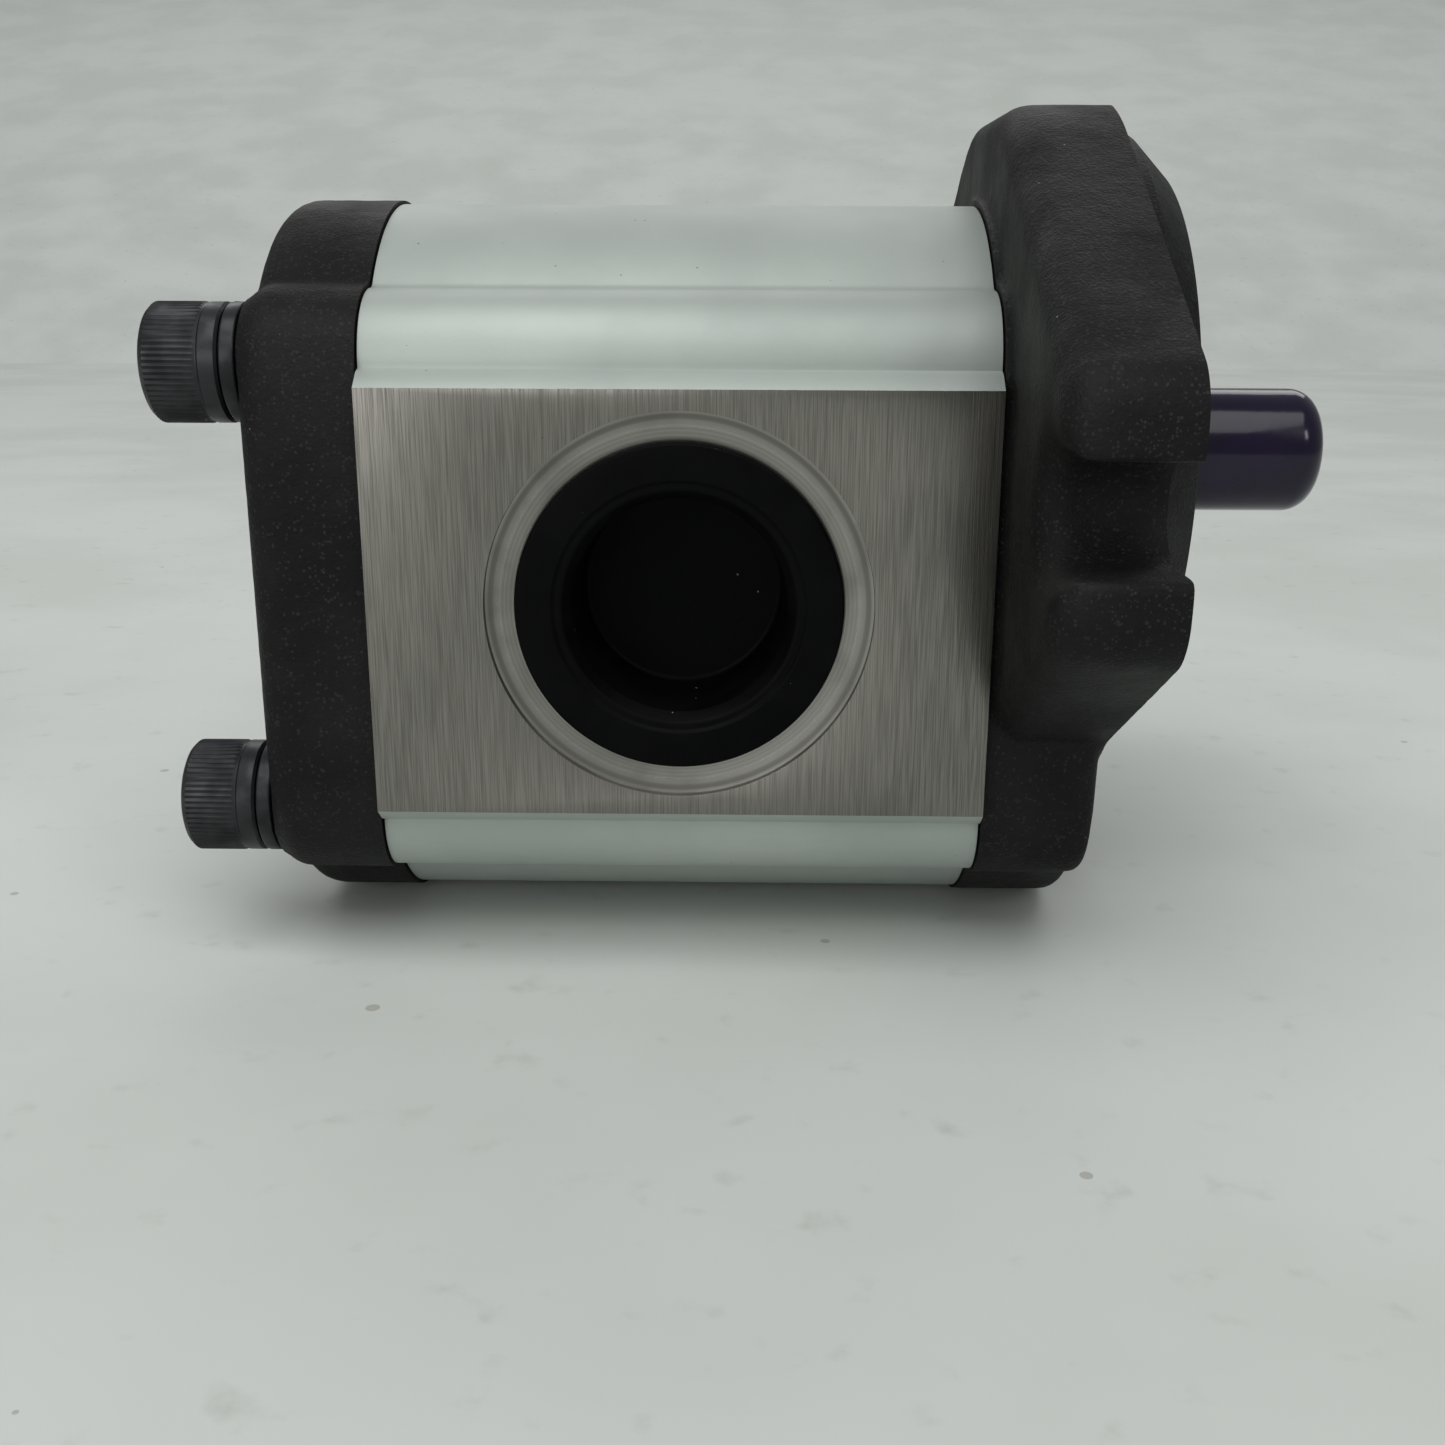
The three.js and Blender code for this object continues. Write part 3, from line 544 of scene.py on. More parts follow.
    def mill_flat(self, place: float, keep_below: bool) -> "Workpiece":
        """Mills the piece flat across X.

        Args:
            place: The plane's place on X.
            keep_below: Whether the side below the plane stays.

        Returns:
            This piece.
        """
        wide = self.MILL_REACH
        low = place if keep_below else place - self.MILL_DEPTH
        high = low + self.MILL_DEPTH
        return self.cut(Workpiece.block("mill", (low, -wide, -wide), (high, wide, wide)))

    def cast(self, voxel: float, roughness: float) -> "Workpiece":
        """Turns sharp joins into a casting's soft ones, with a slightly uneven skin.

        Args:
            voxel: The size of the casting's finest feature.
            roughness: How far the skin wanders.

        Returns:
            This piece.
        """
        self._modify("REMESH", mode="VOXEL", voxel_size=voxel * MM)
        self._modify("SMOOTH", factor=self.SMOOTHING, iterations=self.SMOOTHING_ROUNDS)
        skin = bpy.data.textures.new("cast_skin", "CLOUDS")
        skin.noise_scale = self.SKIN_WAVE * MM
        skin.noise_depth = 2
        self._modify("DISPLACE", texture=skin, strength=roughness * MM, mid_level=1.0,
                     texture_coords="LOCAL")
        return self

    def copy(self, name: str, offset: Sequence[float]) -> "Workpiece":
        """Copies the piece, with its own mesh.

        Args:
            name: The copy's name.
            offset: How far it is moved.

        Returns:
            The copy.
        """
        self.make_active()
        bpy.ops.object.duplicate()
        bpy.context.object.location = Vector(offset) * MM
        return Workpiece(name)

    # -- dressing

    def dress(self, finish: bpy.types.Material) -> "Workpiece":
        """Gives the whole piece one finish.

        Args:
            finish: The material.

        Returns:
            This piece.
        """
        self.obj.data.materials.clear()
        self.obj.data.materials.append(finish)
        return self

    def dress_faces(self, finish: bpy.types.Material, where: Where) -> "Workpiece":
        """Gives some faces another finish.

        Args:
            finish: The material.
            where: Tests a face's middle and normal.

        Returns:
            This piece.
        """
        self.obj.data.materials.append(finish)
        index = len(self.obj.data.materials) - 1
        for face in self.obj.data.polygons:
            if where(face.center / MM, face.normal):
                face.material_index = index
        return self

    def shade(self, angle: float = 30.0) -> "Workpiece":
        """Smooths the shading.

        Args:
            angle: The angle in degrees from which an edge stays sharp.

        Returns:
            This piece.
        """
        self.make_active()
        bpy.ops.object.shade_smooth_by_angle(angle=math.radians(angle))
        return self

    def place(self, body: str, slot: str, *nodes: str) -> "Workpiece":
        """Hands the piece to the frame.

        Args:
            body: The CAD body that it moves with.
            slot: The record's material slot; it is not used.
            *nodes: The CAD nodes that it stands for.

        Returns:
            This piece.
        """
        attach(self.obj, body)
        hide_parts(*nodes)
        faces = len(self.obj.data.polygons)
        log.info("%s rides on %s with %d faces", self.obj.name, body, faces)
        return self


# ---------------------------------------------------------------- shader groups


class GroupBench:
    """Builds one shader node group with named inputs and outputs."""

    def __init__(self, name: str, inputs: dict[str, float], outputs: Iterable[str]) -> None:
        """Starts a group.

        Args:
            name: The group's name.
            inputs: Its inputs and their usual values.
            outputs: Its outputs.
        """
        self.tree = bpy.data.node_groups.new(name, "ShaderNodeTree")
        for key, value in inputs.items():
            self._socket(key, "INPUT").default_value = value
        for key in outputs:
            self._socket(key, "OUTPUT")
        self.entry = self.tree.nodes.new("NodeGroupInput")
        self.exit = self.tree.nodes.new("NodeGroupOutput")

    def _socket(self, name: str, way: str) -> bpy.types.NodeTreeInterfaceSocket:
        """Adds an input or output, which carries one number."""
        return self.tree.interface.new_socket(name, in_out=way, socket_type="NodeSocketFloat")

    def node(self, kind: str, **settings: object) -> bpy.types.Node:
        """Adds a node.

        Args:
            kind: The node's type.
            **settings: Its settings by name.

        Returns:
            The node.
        """
        made = self.tree.nodes.new(kind)
        for key, value in settings.items():
            setattr(made, key, value)
        return made

    def feed(self, target: bpy.types.NodeSocket, source: object) -> None:
        """Feeds a socket.

        Args:
            target: The socket.
            source: Another socket or a number.
        """
        if isinstance(source, bpy.types.NodeSocket):
            self.tree.links.new(source, target)
        else:
            target.default_value = source

    def math(self, operation: str, *values: object) -> bpy.types.NodeSocket:
        """Adds a math node.

        Args:
            operation: Its operation.
            *values: Sockets or numbers.

        Returns:
            Its result.
        """
        made = self.node("ShaderNodeMath", operation=operation)
        for socket, value in zip(made.inputs, values):
            self.feed(socket, value)
        return made.outputs[0]

    def scaled(self, factor: float) -> bpy.types.NodeSocket:
        """The group's Scale input times a factor."""
        return self.math("MULTIPLY", self.entry.outputs["Scale"], factor)

    def ramp(self, value: object, low: object, high: object) -> bpy.types.NodeSocket:
        """Maps low..high smoothly onto 0..1.

        Args:
            value: The socket to map.
            low: What becomes 0.
            high: What becomes 1.

        Returns:
            The mapped value.
        """
        made = self.node("ShaderNodeMapRange", interpolation_type="SMOOTHSTEP")
        self.feed(made.inputs["Value"], value)
        self.feed(made.inputs["From Min"], low)
        self.feed(made.inputs["From Max"], high)
        return made.outputs["Result"]

    def spot(self, *stretch: float,
             place: Sequence[float] = (0.0, 0.0, 0.0)) -> bpy.types.NodeSocket:
        """The place on the object, stretched and then moved.

        Args:
            *stretch: The stretch along each axis, or nothing for none.
            place: How far it is moved.

        Returns:
            The place's socket.
        """
        coordinates = self.node("ShaderNodeTexCoord")
        mapping = self.node("ShaderNodeMapping")
        mapping.inputs["Location"].default_value = place
        mapping.inputs["Scale"].default_value = stretch or (1.0, 1.0, 1.0)
        self.tree.links.new(coordinates.outputs["Object"], mapping.inputs["Vector"])
        return mapping.outputs["Vector"]

    def noise(self, vector: bpy.types.NodeSocket, scale: object,
              detail: float = 2.0) -> bpy.types.NodeSocket:
        """Adds a noise texture.

        Args:
            vector: Where it is read.
            scale: Its scale.
            detail: Its octaves.

        Returns:
            Its value.
        """
        made = self.node("ShaderNodeTexNoise")
        self.feed(made.inputs["Vector"], vector)
        self.feed(made.inputs["Scale"], scale)
        made.inputs["Detail"].default_value = detail
        return made.outputs["Fac"]


class Effects:
    """The shader groups that the finishes share, each built once."""

    def __init__(self) -> None:
        """Builds every group."""
        self.grain = self._grain()
        self.brushed_along_z = self._brushed("brushed_along_z", (1.0, 1.0, 0.016))
        self.brushed_along_x = self._brushed("brushed_along_x", (0.012, 1.0, 1.0))
        self.turned_rings = self._turned_rings()
        self.specks = self._specks()
        self.clouds = self._clouds()

    @staticmethod
    def _grain() -> bpy.types.NodeTree:
        """Fine bumps of two sizes, as on a casting or moulding.

        Returns:
            The group.
        """
        bench = GroupBench("grain", {"Scale": 1200.0, "Coarse": 0.5}, ["Height"])
        spot = bench.spot()
        fine = bench.noise(spot, bench.entry.outputs["Scale"], 3.0)
        wide = bench.noise(spot, bench.scaled(0.23), 2.0)
        mixed = bench.math("MULTIPLY_ADD", wide, bench.entry.outputs["Coarse"], fine)
        bench.feed(bench.exit.inputs["Height"], mixed)
        return bench.tree

    @staticmethod
    def _brushed(name: str, stretch: tuple[float, float, float]) -> bpy.types.NodeTree:
        """Fine parallel lines, left by a cutter or a die.

        Args:
            name: The group's name.
            stretch: The stretch along each axis, which is small along the lines.

        Returns:
            The group.
        """
        bench = GroupBench(name, {"Scale": 2600.0}, ["Height", "Streaks"])
        spot = bench.spot(*stretch)
        lines = bench.noise(spot, bench.entry.outputs["Scale"], 2.0)
        wide = bench.noise(spot, bench.scaled(0.12), 3.0)
        bench.feed(bench.exit.inputs["Height"], lines)
        bench.feed(bench.exit.inputs["Streaks"], bench.ramp(wide, 0.35, 0.68))
        return bench.tree

    @staticmethod
    def _turned_rings() -> bpy.types.NodeTree:
        """Fine rings round the ports' common axis, left by a facing cutter.

        Returns:
            The group.
        """
        bench = GroupBench("turned_rings", {"Scale": 1500.0}, ["Height", "Streaks"])
        port = NodeBox.of("suction_port_plug").centre
        spot = bench.spot(1.0, 0.0, 1.0, place=(-port.x * MM, 0.0, -port.z * MM))
        reach = bench.node("ShaderNodeVectorMath", operation="LENGTH")
        bench.feed(reach.inputs[0], spot)
        line = bench.node("ShaderNodeCombineXYZ")
        bench.feed(line.inputs[0], reach.outputs["Value"])
        fine = bench.noise(line.outputs[0], bench.entry.outputs["Scale"], 2.0)
        wide = bench.noise(line.outputs[0], bench.scaled(0.4), 2.0)
        bench.feed(bench.exit.inputs["Height"], fine)
        bench.feed(bench.exit.inputs["Streaks"], bench.ramp(wide, 0.3, 0.7))
        return bench.tree

    @staticmethod
    def _specks() -> bpy.types.NodeTree:
        """Sparse small particles or pits.

        Returns:
            The group.
        """
        bench = GroupBench("specks", {"Scale": 300.0, "Size": 0.12, "Share": 0.2}, ["Mask"])
        cells = bench.node("ShaderNodeTexVoronoi", feature="F1")
        bench.feed(cells.inputs["Vector"], bench.spot())
        bench.feed(cells.inputs["Scale"], bench.entry.outputs["Scale"])
        tone = bench.node("ShaderNodeSeparateColor")
        bench.feed(tone.inputs[0], cells.outputs["Color"])
        chosen = bench.math("LESS_THAN", tone.outputs[0], bench.entry.outputs["Share"])
        size = bench.math("MULTIPLY", tone.outputs[1], bench.entry.outputs["Size"])
        inside = bench.math("LESS_THAN", cells.outputs["Distance"], size)
        bench.feed(bench.exit.inputs["Mask"], bench.math("MULTIPLY", chosen, inside))
        return bench.tree

    @staticmethod
    def _clouds() -> bpy.types.NodeTree:
        """Soft patches, for handling marks and uneven colour.

        Returns:
            The group.
        """
        bench = GroupBench("clouds", {"Scale": 40.0, "Low": 0.35, "High": 0.65}, ["Mask"])
        value = bench.noise(bench.spot(), bench.entry.outputs["Scale"], 4.0)
        mask = bench.ramp(value, bench.entry.outputs["Low"], bench.entry.outputs["High"])
        bench.feed(bench.exit.inputs["Mask"], mask)
        return bench.tree


# ---------------------------------------------------------------- finishes


class Painter:
    """Builds one material round a Principled shader."""

    MIX_FACTOR = 0
    MIX_COLOURS = (6, 7)
    MIX_RESULT = 2

    def __init__(self, name: str, **constants: object) -> None:
        """Starts a material.

        Args:
            name: The material's name.
            **constants: Values set on the shader's own sockets, with _ for each space.
        """
        self.material = bpy.data.materials.new(name)
        self.material.use_nodes = True
        self.nodes = self.material.node_tree.nodes
        self.links = self.material.node_tree.links
        self.shader = self.nodes["Principled BSDF"]
        for key, value in constants.items():
            self.shader.inputs[key.replace("_", " ")].default_value = value

    def effect(self, tree: bpy.types.NodeTree, output: str,
               **values: float) -> bpy.types.NodeSocket:
        """Places a shared group with its own values.

        Args:
            tree: The group.
            output: Which of its outputs is wanted.
            **values: Its inputs.

        Returns:
            The output.
        """
        node = self.nodes.new("ShaderNodeGroup")
        node.node_tree = tree
        for key, value in values.items():
            node.inputs[key].default_value = value
        return node.outputs[output]

    def mix(self, mask: bpy.types.NodeSocket, first: object,
            second: object) -> bpy.types.NodeSocket:
        """Mixes two colours by a mask.

        Args:
            mask: 0 gives the first, 1 the second.
            first: A colour or a colour socket.
            second: The same.

        Returns:
            The mixed colour.
        """
        node = self.nodes.new("ShaderNodeMix")
        node.data_type = "RGBA"
        self.links.new(mask, node.inputs[self.MIX_FACTOR])
        for index, value in zip(self.MIX_COLOURS, (first, second)):
            socket = node.inputs[index]
            if isinstance(value, bpy.types.NodeSocket):
                self.links.new(value, socket)
            else:
                socket.default_value = (*value, 1.0)
        return node.outputs[self.MIX_RESULT]

    def map(self, value: bpy.types.NodeSocket, low: float, high: float) -> bpy.types.NodeSocket:
        """Maps 0..1 onto low..high.

        Args:
            value: The socket to map.
            low: What 0 becomes.
            high: What 1 becomes.

        Returns:
            The mapped value.
        """
        node = self.nodes.new("ShaderNodeMapRange")
        self.links.new(value, node.inputs["Value"])
        node.inputs["To Min"].default_value = low
        node.inputs["To Max"].default_value = high
        return node.outputs["Result"]

    def colour(self, value: bpy.types.NodeSocket) -> None:
        """Feeds the base colour."""
        self.links.new(value, self.shader.inputs["Base Color"])

    def roughness(self, value: bpy.types.NodeSocket) -> None:
        """Feeds the roughness."""
        self.links.new(value, self.shader.inputs["Roughness"])

    def bump(self, height: bpy.types.NodeSocket, depth: float, strength: float = 1.0) -> None:
        """Feeds the normal through a bump.

        Args:
            height: The height, 0 to 1.
            depth: What 1 stands for, in millimetres.
            strength: The bump's strength.
        """
        node = self.nodes.new("ShaderNodeBump")
        node.inputs["Distance"].default_value = depth * MM
        node.inputs["Strength"].default_value = strength
        self.links.new(height, node.inputs["Height"])
        if self.shader.inputs["Normal"].links:
            self.links.new(self.shader.inputs["Normal"].links[0].from_socket, node.inputs["Normal"])
        self.links.new(node.outputs[0], self.shader.inputs["Normal"])


@dataclass(frozen=True)
class AnodisedExtrusion:
    """Satin anodised aluminium with faint die lines and small pits."""

    tone: Colour = (0.42, 0.46, 0.43)
    shade: Colour = (0.375, 0.41, 0.385)
    pit: Colour = (0.16, 0.15, 0.13)

    def build(self, effects: Effects) -> bpy.types.Material:
        """Builds the material.

        Args:
            effects: The shared groups.

        Returns:
            The material.
        """
        paint = Painter("anodised_extrusion", Metallic=0.4)
        clouds = paint.effect(effects.clouds, "Mask", Scale=28.0)
        pits = paint.effect(effects.specks, "Mask", Scale=700.0, Size=0.14, Share=0.05)
        lines = paint.effect(effects.brushed_along_x, "Height", Scale=1500.0)
        grain = paint.effect(effects.grain, "Height", Scale=3000.0, Coarse=0.6)
        base = paint.mix(clouds, self.tone, self.shade)
        paint.colour(paint.mix(pits, base, self.pit))
        paint.roughness(paint.map(clouds, 0.50, 0.60))
        paint.bump(grain, 0.035, 0.6)
        paint.bump(lines, 0.010, 0.5)
        return paint.material


@dataclass(frozen=True)
class MilledPadWithPaintedReflection:
    """Milled aluminium with close vertical cutter lines, smudges and a few nicks, its colours
    painted dark as a painted reflection of the dark room in front of it.
    """

    # The tone and the shade are painted darker than milled aluminium is: a painted reflection of
    # the dark room that the pad faces.
    tone: Colour = (0.245, 0.236, 0.213)
    shade: Colour = (0.155, 0.149, 0.132)
    stain: Colour = (0.08, 0.075, 0.07)

    def build(self, effects: Effects) -> bpy.types.Material:
        """Builds the material.

        Args:
            effects: The shared groups.

        Returns:
            The material.
        """
        paint = Painter("milled_pad", Metallic=1.0)
        lines = paint.effect(effects.brushed_along_z, "Height", Scale=4200.0)
        streaks = paint.effect(effects.brushed_along_z, "Streaks", Scale=52000.0)
        smudges = paint.effect(effects.clouds, "Mask", Scale=22.0, Low=0.52, High=0.75)
        nicks = paint.effect(effects.specks, "Mask", Scale=260.0, Size=0.10, Share=0.06)
        # The streaks between tone and shade are the cutter's; the darkness of both colours is
        # painted reflection.
        base = paint.mix(streaks, self.tone, self.shade)
        worn = paint.mix(paint.map(smudges, 0.0, 0.45), base, self.stain)
        paint.colour(paint.mix(nicks, worn, self.stain))
        paint.roughness(paint.map(streaks, 0.30, 0.46))
        paint.bump(lines, 0.03, 0.8)
        return paint.material


@dataclass(frozen=True)
class CutEdgeWithPaintedShade:
    """Freshly cut metal on spotfaces and broken edges, its colours painted darker than cut metal is
    as the painted shade of the spotface's recess.
    """

    # The tone and the shade are painted darker than cut metal is: painted shade for the spotface's
    # recess.
    tone: Colour = (0.36, 0.355, 0.325)
    shade: Colour = (0.15, 0.146, 0.130)
    stain: Colour = (0.10, 0.095, 0.085)

    def build(self, effects: Effects) -> bpy.types.Material:
        """Builds the material.

        Args:
            effects: The shared groups.

        Returns:
            The material.
        """
        paint = Painter("bright_edge", Metallic=1.0)
        rings = paint.effect(effects.turned_rings, "Height", Scale=2600.0)
        streaks = paint.effect(effects.turned_rings, "Streaks", Scale=2000.0)
        clouds = paint.effect(effects.clouds, "Mask", Scale=90.0, Low=0.45, High=0.8)
        # The rings between tone and shade are the cutter's; the darkness of both colours is painted
        # shade.
        base = paint.mix(streaks, self.tone, self.shade)
        paint.colour(paint.mix(paint.map(clouds, 0.0, 0.5), base, self.stain))
        paint.roughness(paint.map(streaks, 0.24, 0.38))
        paint.bump(rings, 0.014, 0.6)
        return paint.material


@dataclass(frozen=True)
class BlackCasting:
    """Black cast iron: a fine sandy skin with dust caught in it."""

    tone: Colour = (0.0072, 0.0073, 0.0070)
    shade: Colour = (0.0042, 0.0043, 0.0042)
    dust: Colour = (0.20, 0.17, 0.12)
    sand: Colour = (0.019, 0.019, 0.018)

    def build(self, effects: Effects) -> bpy.types.Material:
        """Builds the material.

        Args:
            effects: The shared groups.

        Returns:
            The material.
        """
        paint = Painter("black_casting", Metallic=0.0, Specular_IOR_Level=0.16)
        clouds = paint.effect(effects.clouds, "Mask", Scale=60.0)
        dust = paint.effect(effects.specks, "Mask", Scale=620.0, Size=0.10, Share=0.05)
        grain = paint.effect(effects.grain, "Height", Scale=2200.0, Coarse=0.8)
        sand = paint.effect(effects.specks, "Mask", Scale=2300.0, Size=0.6, Share=0.35)
        base = paint.mix(clouds, self.tone, self.shade)
        sandy = paint.mix(sand, base, self.sand)
        paint.colour(paint.mix(dust, sandy, self.dust))
        paint.roughness(paint.map(clouds, 0.52, 0.66))
        paint.bump(grain, 0.22, 0.8)
        return paint.material


@dataclass(frozen=True)
class BlackOxide:
    """Oiled black oxide steel, slightly blue, with a little dust."""

    tone: Colour = (0.024, 0.026, 0.028)
    shade: Colour = (0.010, 0.011, 0.012)
    dust: Colour = (0.25, 0.24, 0.22)

    def build(self, effects: Effects) -> bpy.types.Material:
        """Builds the material.

        Args:
            effects: The shared groups.

        Returns:
            The material.
        """
        paint = Painter("black_oxide", Metallic=0.55)
        clouds = paint.effect(effects.clouds, "Mask", Scale=220.0)
        dust = paint.effect(effects.specks, "Mask", Scale=900.0, Size=0.15, Share=0.06)
        grain = paint.effect(effects.grain, "Height", Scale=3800.0)
        base = paint.mix(clouds, self.tone, self.shade)
        paint.colour(paint.mix(dust, base, self.dust))
        paint.roughness(paint.map(clouds, 0.34, 0.52))
        paint.bump(grain, 0.015, 0.5)
        return paint.material


@dataclass(frozen=True)
class MouldedPlastic:
    """Black moulded plastic with a faint grain and dust."""

    tone: Colour = (0.0012, 0.0012, 0.0014)
    shade: Colour = (0.0024, 0.0024, 0.0027)
    dust: Colour = (0.16, 0.15, 0.13)

    def build(self, effects: Effects) -> bpy.types.Material:
        """Builds the material.

        Args:
            effects: The shared groups.

        Returns:
            The material.
        """
        paint = Painter("moulded_plastic", Metallic=0.0, Specular_IOR_Level=0.05)
        clouds = paint.effect(effects.clouds, "Mask", Scale=90.0)
        dust = paint.effect(effects.specks, "Mask", Scale=620.0, Size=0.15, Share=0.10)
        grain = paint.effect(effects.grain, "Height", Scale=2600.0)
        base = paint.mix(clouds, self.tone, self.shade)
        paint.colour(paint.mix(dust, base, self.dust))
        paint.roughness(paint.map(clouds, 0.42, 0.56))
        paint.bump(grain, 0.03, 0.5)
        return paint.material


@dataclass(frozen=True)
class GlossVinyl:
    """Soft glossy vinyl, nearly black with purple in it."""

    tone: Colour = (0.0100, 0.0045, 0.026)
    shade: Colour = (0.0060, 0.0030, 0.016)

    def build(self, effects: Effects) -> bpy.types.Material:
        """Builds the material.

        Args:
            effects: The shared groups.

        Returns:
            The material.
        """
        paint = Painter("gloss_vinyl", Metallic=0.0, Specular_IOR_Level=0.3, Coat_Weight=0.12,
                        Coat_Roughness=0.05)
        clouds = paint.effect(effects.clouds, "Mask", Scale=70.0)
        waves = paint.effect(effects.grain, "Height", Scale=160.0, Coarse=0.6)
        paint.colour(paint.mix(clouds, self.tone, self.shade))
        paint.roughness(paint.map(clouds, 0.10, 0.18))
        paint.bump(waves, 0.10, 0.5)
        return paint.material


@dataclass(frozen=True)
class TableTop:
    """A pale painted table with faint dirt in it."""

    tone: Colour = (0.60, 0.63, 0.605)
    shade: Colour = (0.55, 0.575, 0.545)
    dirt: Colour = (0.30, 0.29, 0.25)

    def build(self, effects: Effects) -> bpy.types.Material:
        """Builds the material.

        Args:
            effects: The shared groups.

        Returns:
            The material.
        """
        paint = Painter("table_top", Metallic=0.0, Specular_IOR_Level=0.3)
        clouds = paint.effect(effects.clouds, "Mask", Scale=9.0)
        dirt = paint.effect(effects.clouds, "Mask", Scale=130.0, Low=0.60, High=0.86)
        specks = paint.effect(effects.specks, "Mask", Scale=70.0, Size=0.08, Share=0.25)
        base = paint.mix(clouds, self.tone, self.shade)
        dirty = paint.mix(paint.map(dirt, 0.0, 0.40), base, self.dirt)
        paint.colour(paint.mix(paint.map(specks, 0.0, 0.6), dirty, self.dirt))
        paint.roughness(paint.map(clouds, 0.55, 0.7))
        return paint.material


@dataclass(frozen=True)
class InnerFinish:
    """A plain workshop finish for a piece inside the pump."""

    name: str
    tone: Colour
    shade: Colour
    metallic: float
    smooth: float
    rough: float
    scale: float = 900.0

    def build(self, effects: Effects) -> bpy.types.Material:
        """Builds the material.

        Args:
            effects: The shared groups.

        Returns:
            The material.
        """
        paint = Painter(self.name, Metallic=self.metallic)
        streaks = paint.effect(effects.brushed_along_x, "Streaks", Scale=self.scale)
        grain = paint.effect(effects.grain, "Height", Scale=3.0 * self.scale)
        paint.colour(paint.mix(streaks, self.tone, self.shade))
        paint.roughness(paint.map(streaks, self.smooth, self.rough))
        paint.bump(grain, 0.02, 0.4)
        return paint.material


class Finishes:
    """Every material, each built once."""

    def __init__(self) -> None:
        """Builds the shared groups and then the materials."""
        self.effects = effects = Effects()
        self.extrusion = AnodisedExtrusion().build(effects)
        self.pad = MilledPadWithPaintedReflection().build(effects)
        self.bright = CutEdgeWithPaintedShade().build(effects)
        self.casting = BlackCasting().build(effects)
        self.oxide = BlackOxide().build(effects)
        self.plastic = MouldedPlastic().build(effects)
        self.vinyl = GlossVinyl().build(effects)
        inner = (
            InnerFinish("ground_steel", (0.56, 0.56, 0.55), (0.40, 0.40, 0.39), 1.0, 0.18, 0.32),
            InnerFinish("bearing_alloy", (0.62, 0.61, 0.58), (0.48, 0.47, 0.45), 0.9, 0.35, 0.5),
            InnerFinish("bronze", (0.52, 0.33, 0.14), (0.40, 0.25, 0.11), 1.0, 0.3, 0.45),
            InnerFinish("seal_rubber", (0.012, 0.012, 0.012), (0.02, 0.02, 0.019), 0.0, 0.5, 0.7),
            InnerFinish("backup_polymer", (0.62, 0.57, 0.45), (0.54, 0.5, 0.4), 0.0, 0.45, 0.6),
        )
        built = {finish.name: finish.build(effects) for finish in inner}
        self.by_slot = {
            "steel": built["ground_steel"],
            "alloy": built["bearing_alloy"],
            "bronze": built["bronze"],
            "rubber": built["seal_rubber"],
            "polymer": built["backup_polymer"],
            "extrusion": self.extrusion,
            "casting": self.casting,
            "black_oxide": self.oxide,
            "plug_plastic": self.plastic,
            "vinyl": self.vinyl,
        }


# ---------------------------------------------------------------- sub-assemblies


@dataclass(frozen=True)
class Port:
    """One port's machining, from the pad inwards."""

    side: int
    spotface: float
    thread: float
    passage: float
    depth: float
    spotface_depth: float = 1.6
    thread_height: float = 0.9
    thread_pitch: float = 2.1
    turns: int = 7
    lead: float = 1.2
    past: float = 2.0

    @property
    def axis(self) -> Axis:
        """The way out of the port."""
        return Axis.Y if self.side > 0 else Axis.MINUS_Y

    def tool(self, centre: Vector) -> Workpiece:
        """The cutter that makes the port, thread rings and all.

        Args:
            centre: The port's centre on its pad.

        Returns:
            The tool.
        """
        bottom = -self.spotface_depth
        along = bottom - self.lead
        profile: Profile = [
            (self.past, 0.0),
            (self.past, self.spotface),
            (bottom, self.spotface),
            (bottom, self.thread + self.lead),
            (along, self.thread),
        ]
        for _ in range(self.turns):
            profile.append((along - self.thread_pitch / 2, self.thread + self.thread_height / 2))
            along -= self.thread_pitch
            profile.append((along, self.thread))
        profile += [(-self.depth, self.thread), (-self.depth, self.passage)]
        inner = -self.depth - self.passage
        profile += [(inner, self.passage), (inner, 0.0)]
        return Workpiece.turned("port_tool", profile, centre, self.axis, sides=128)


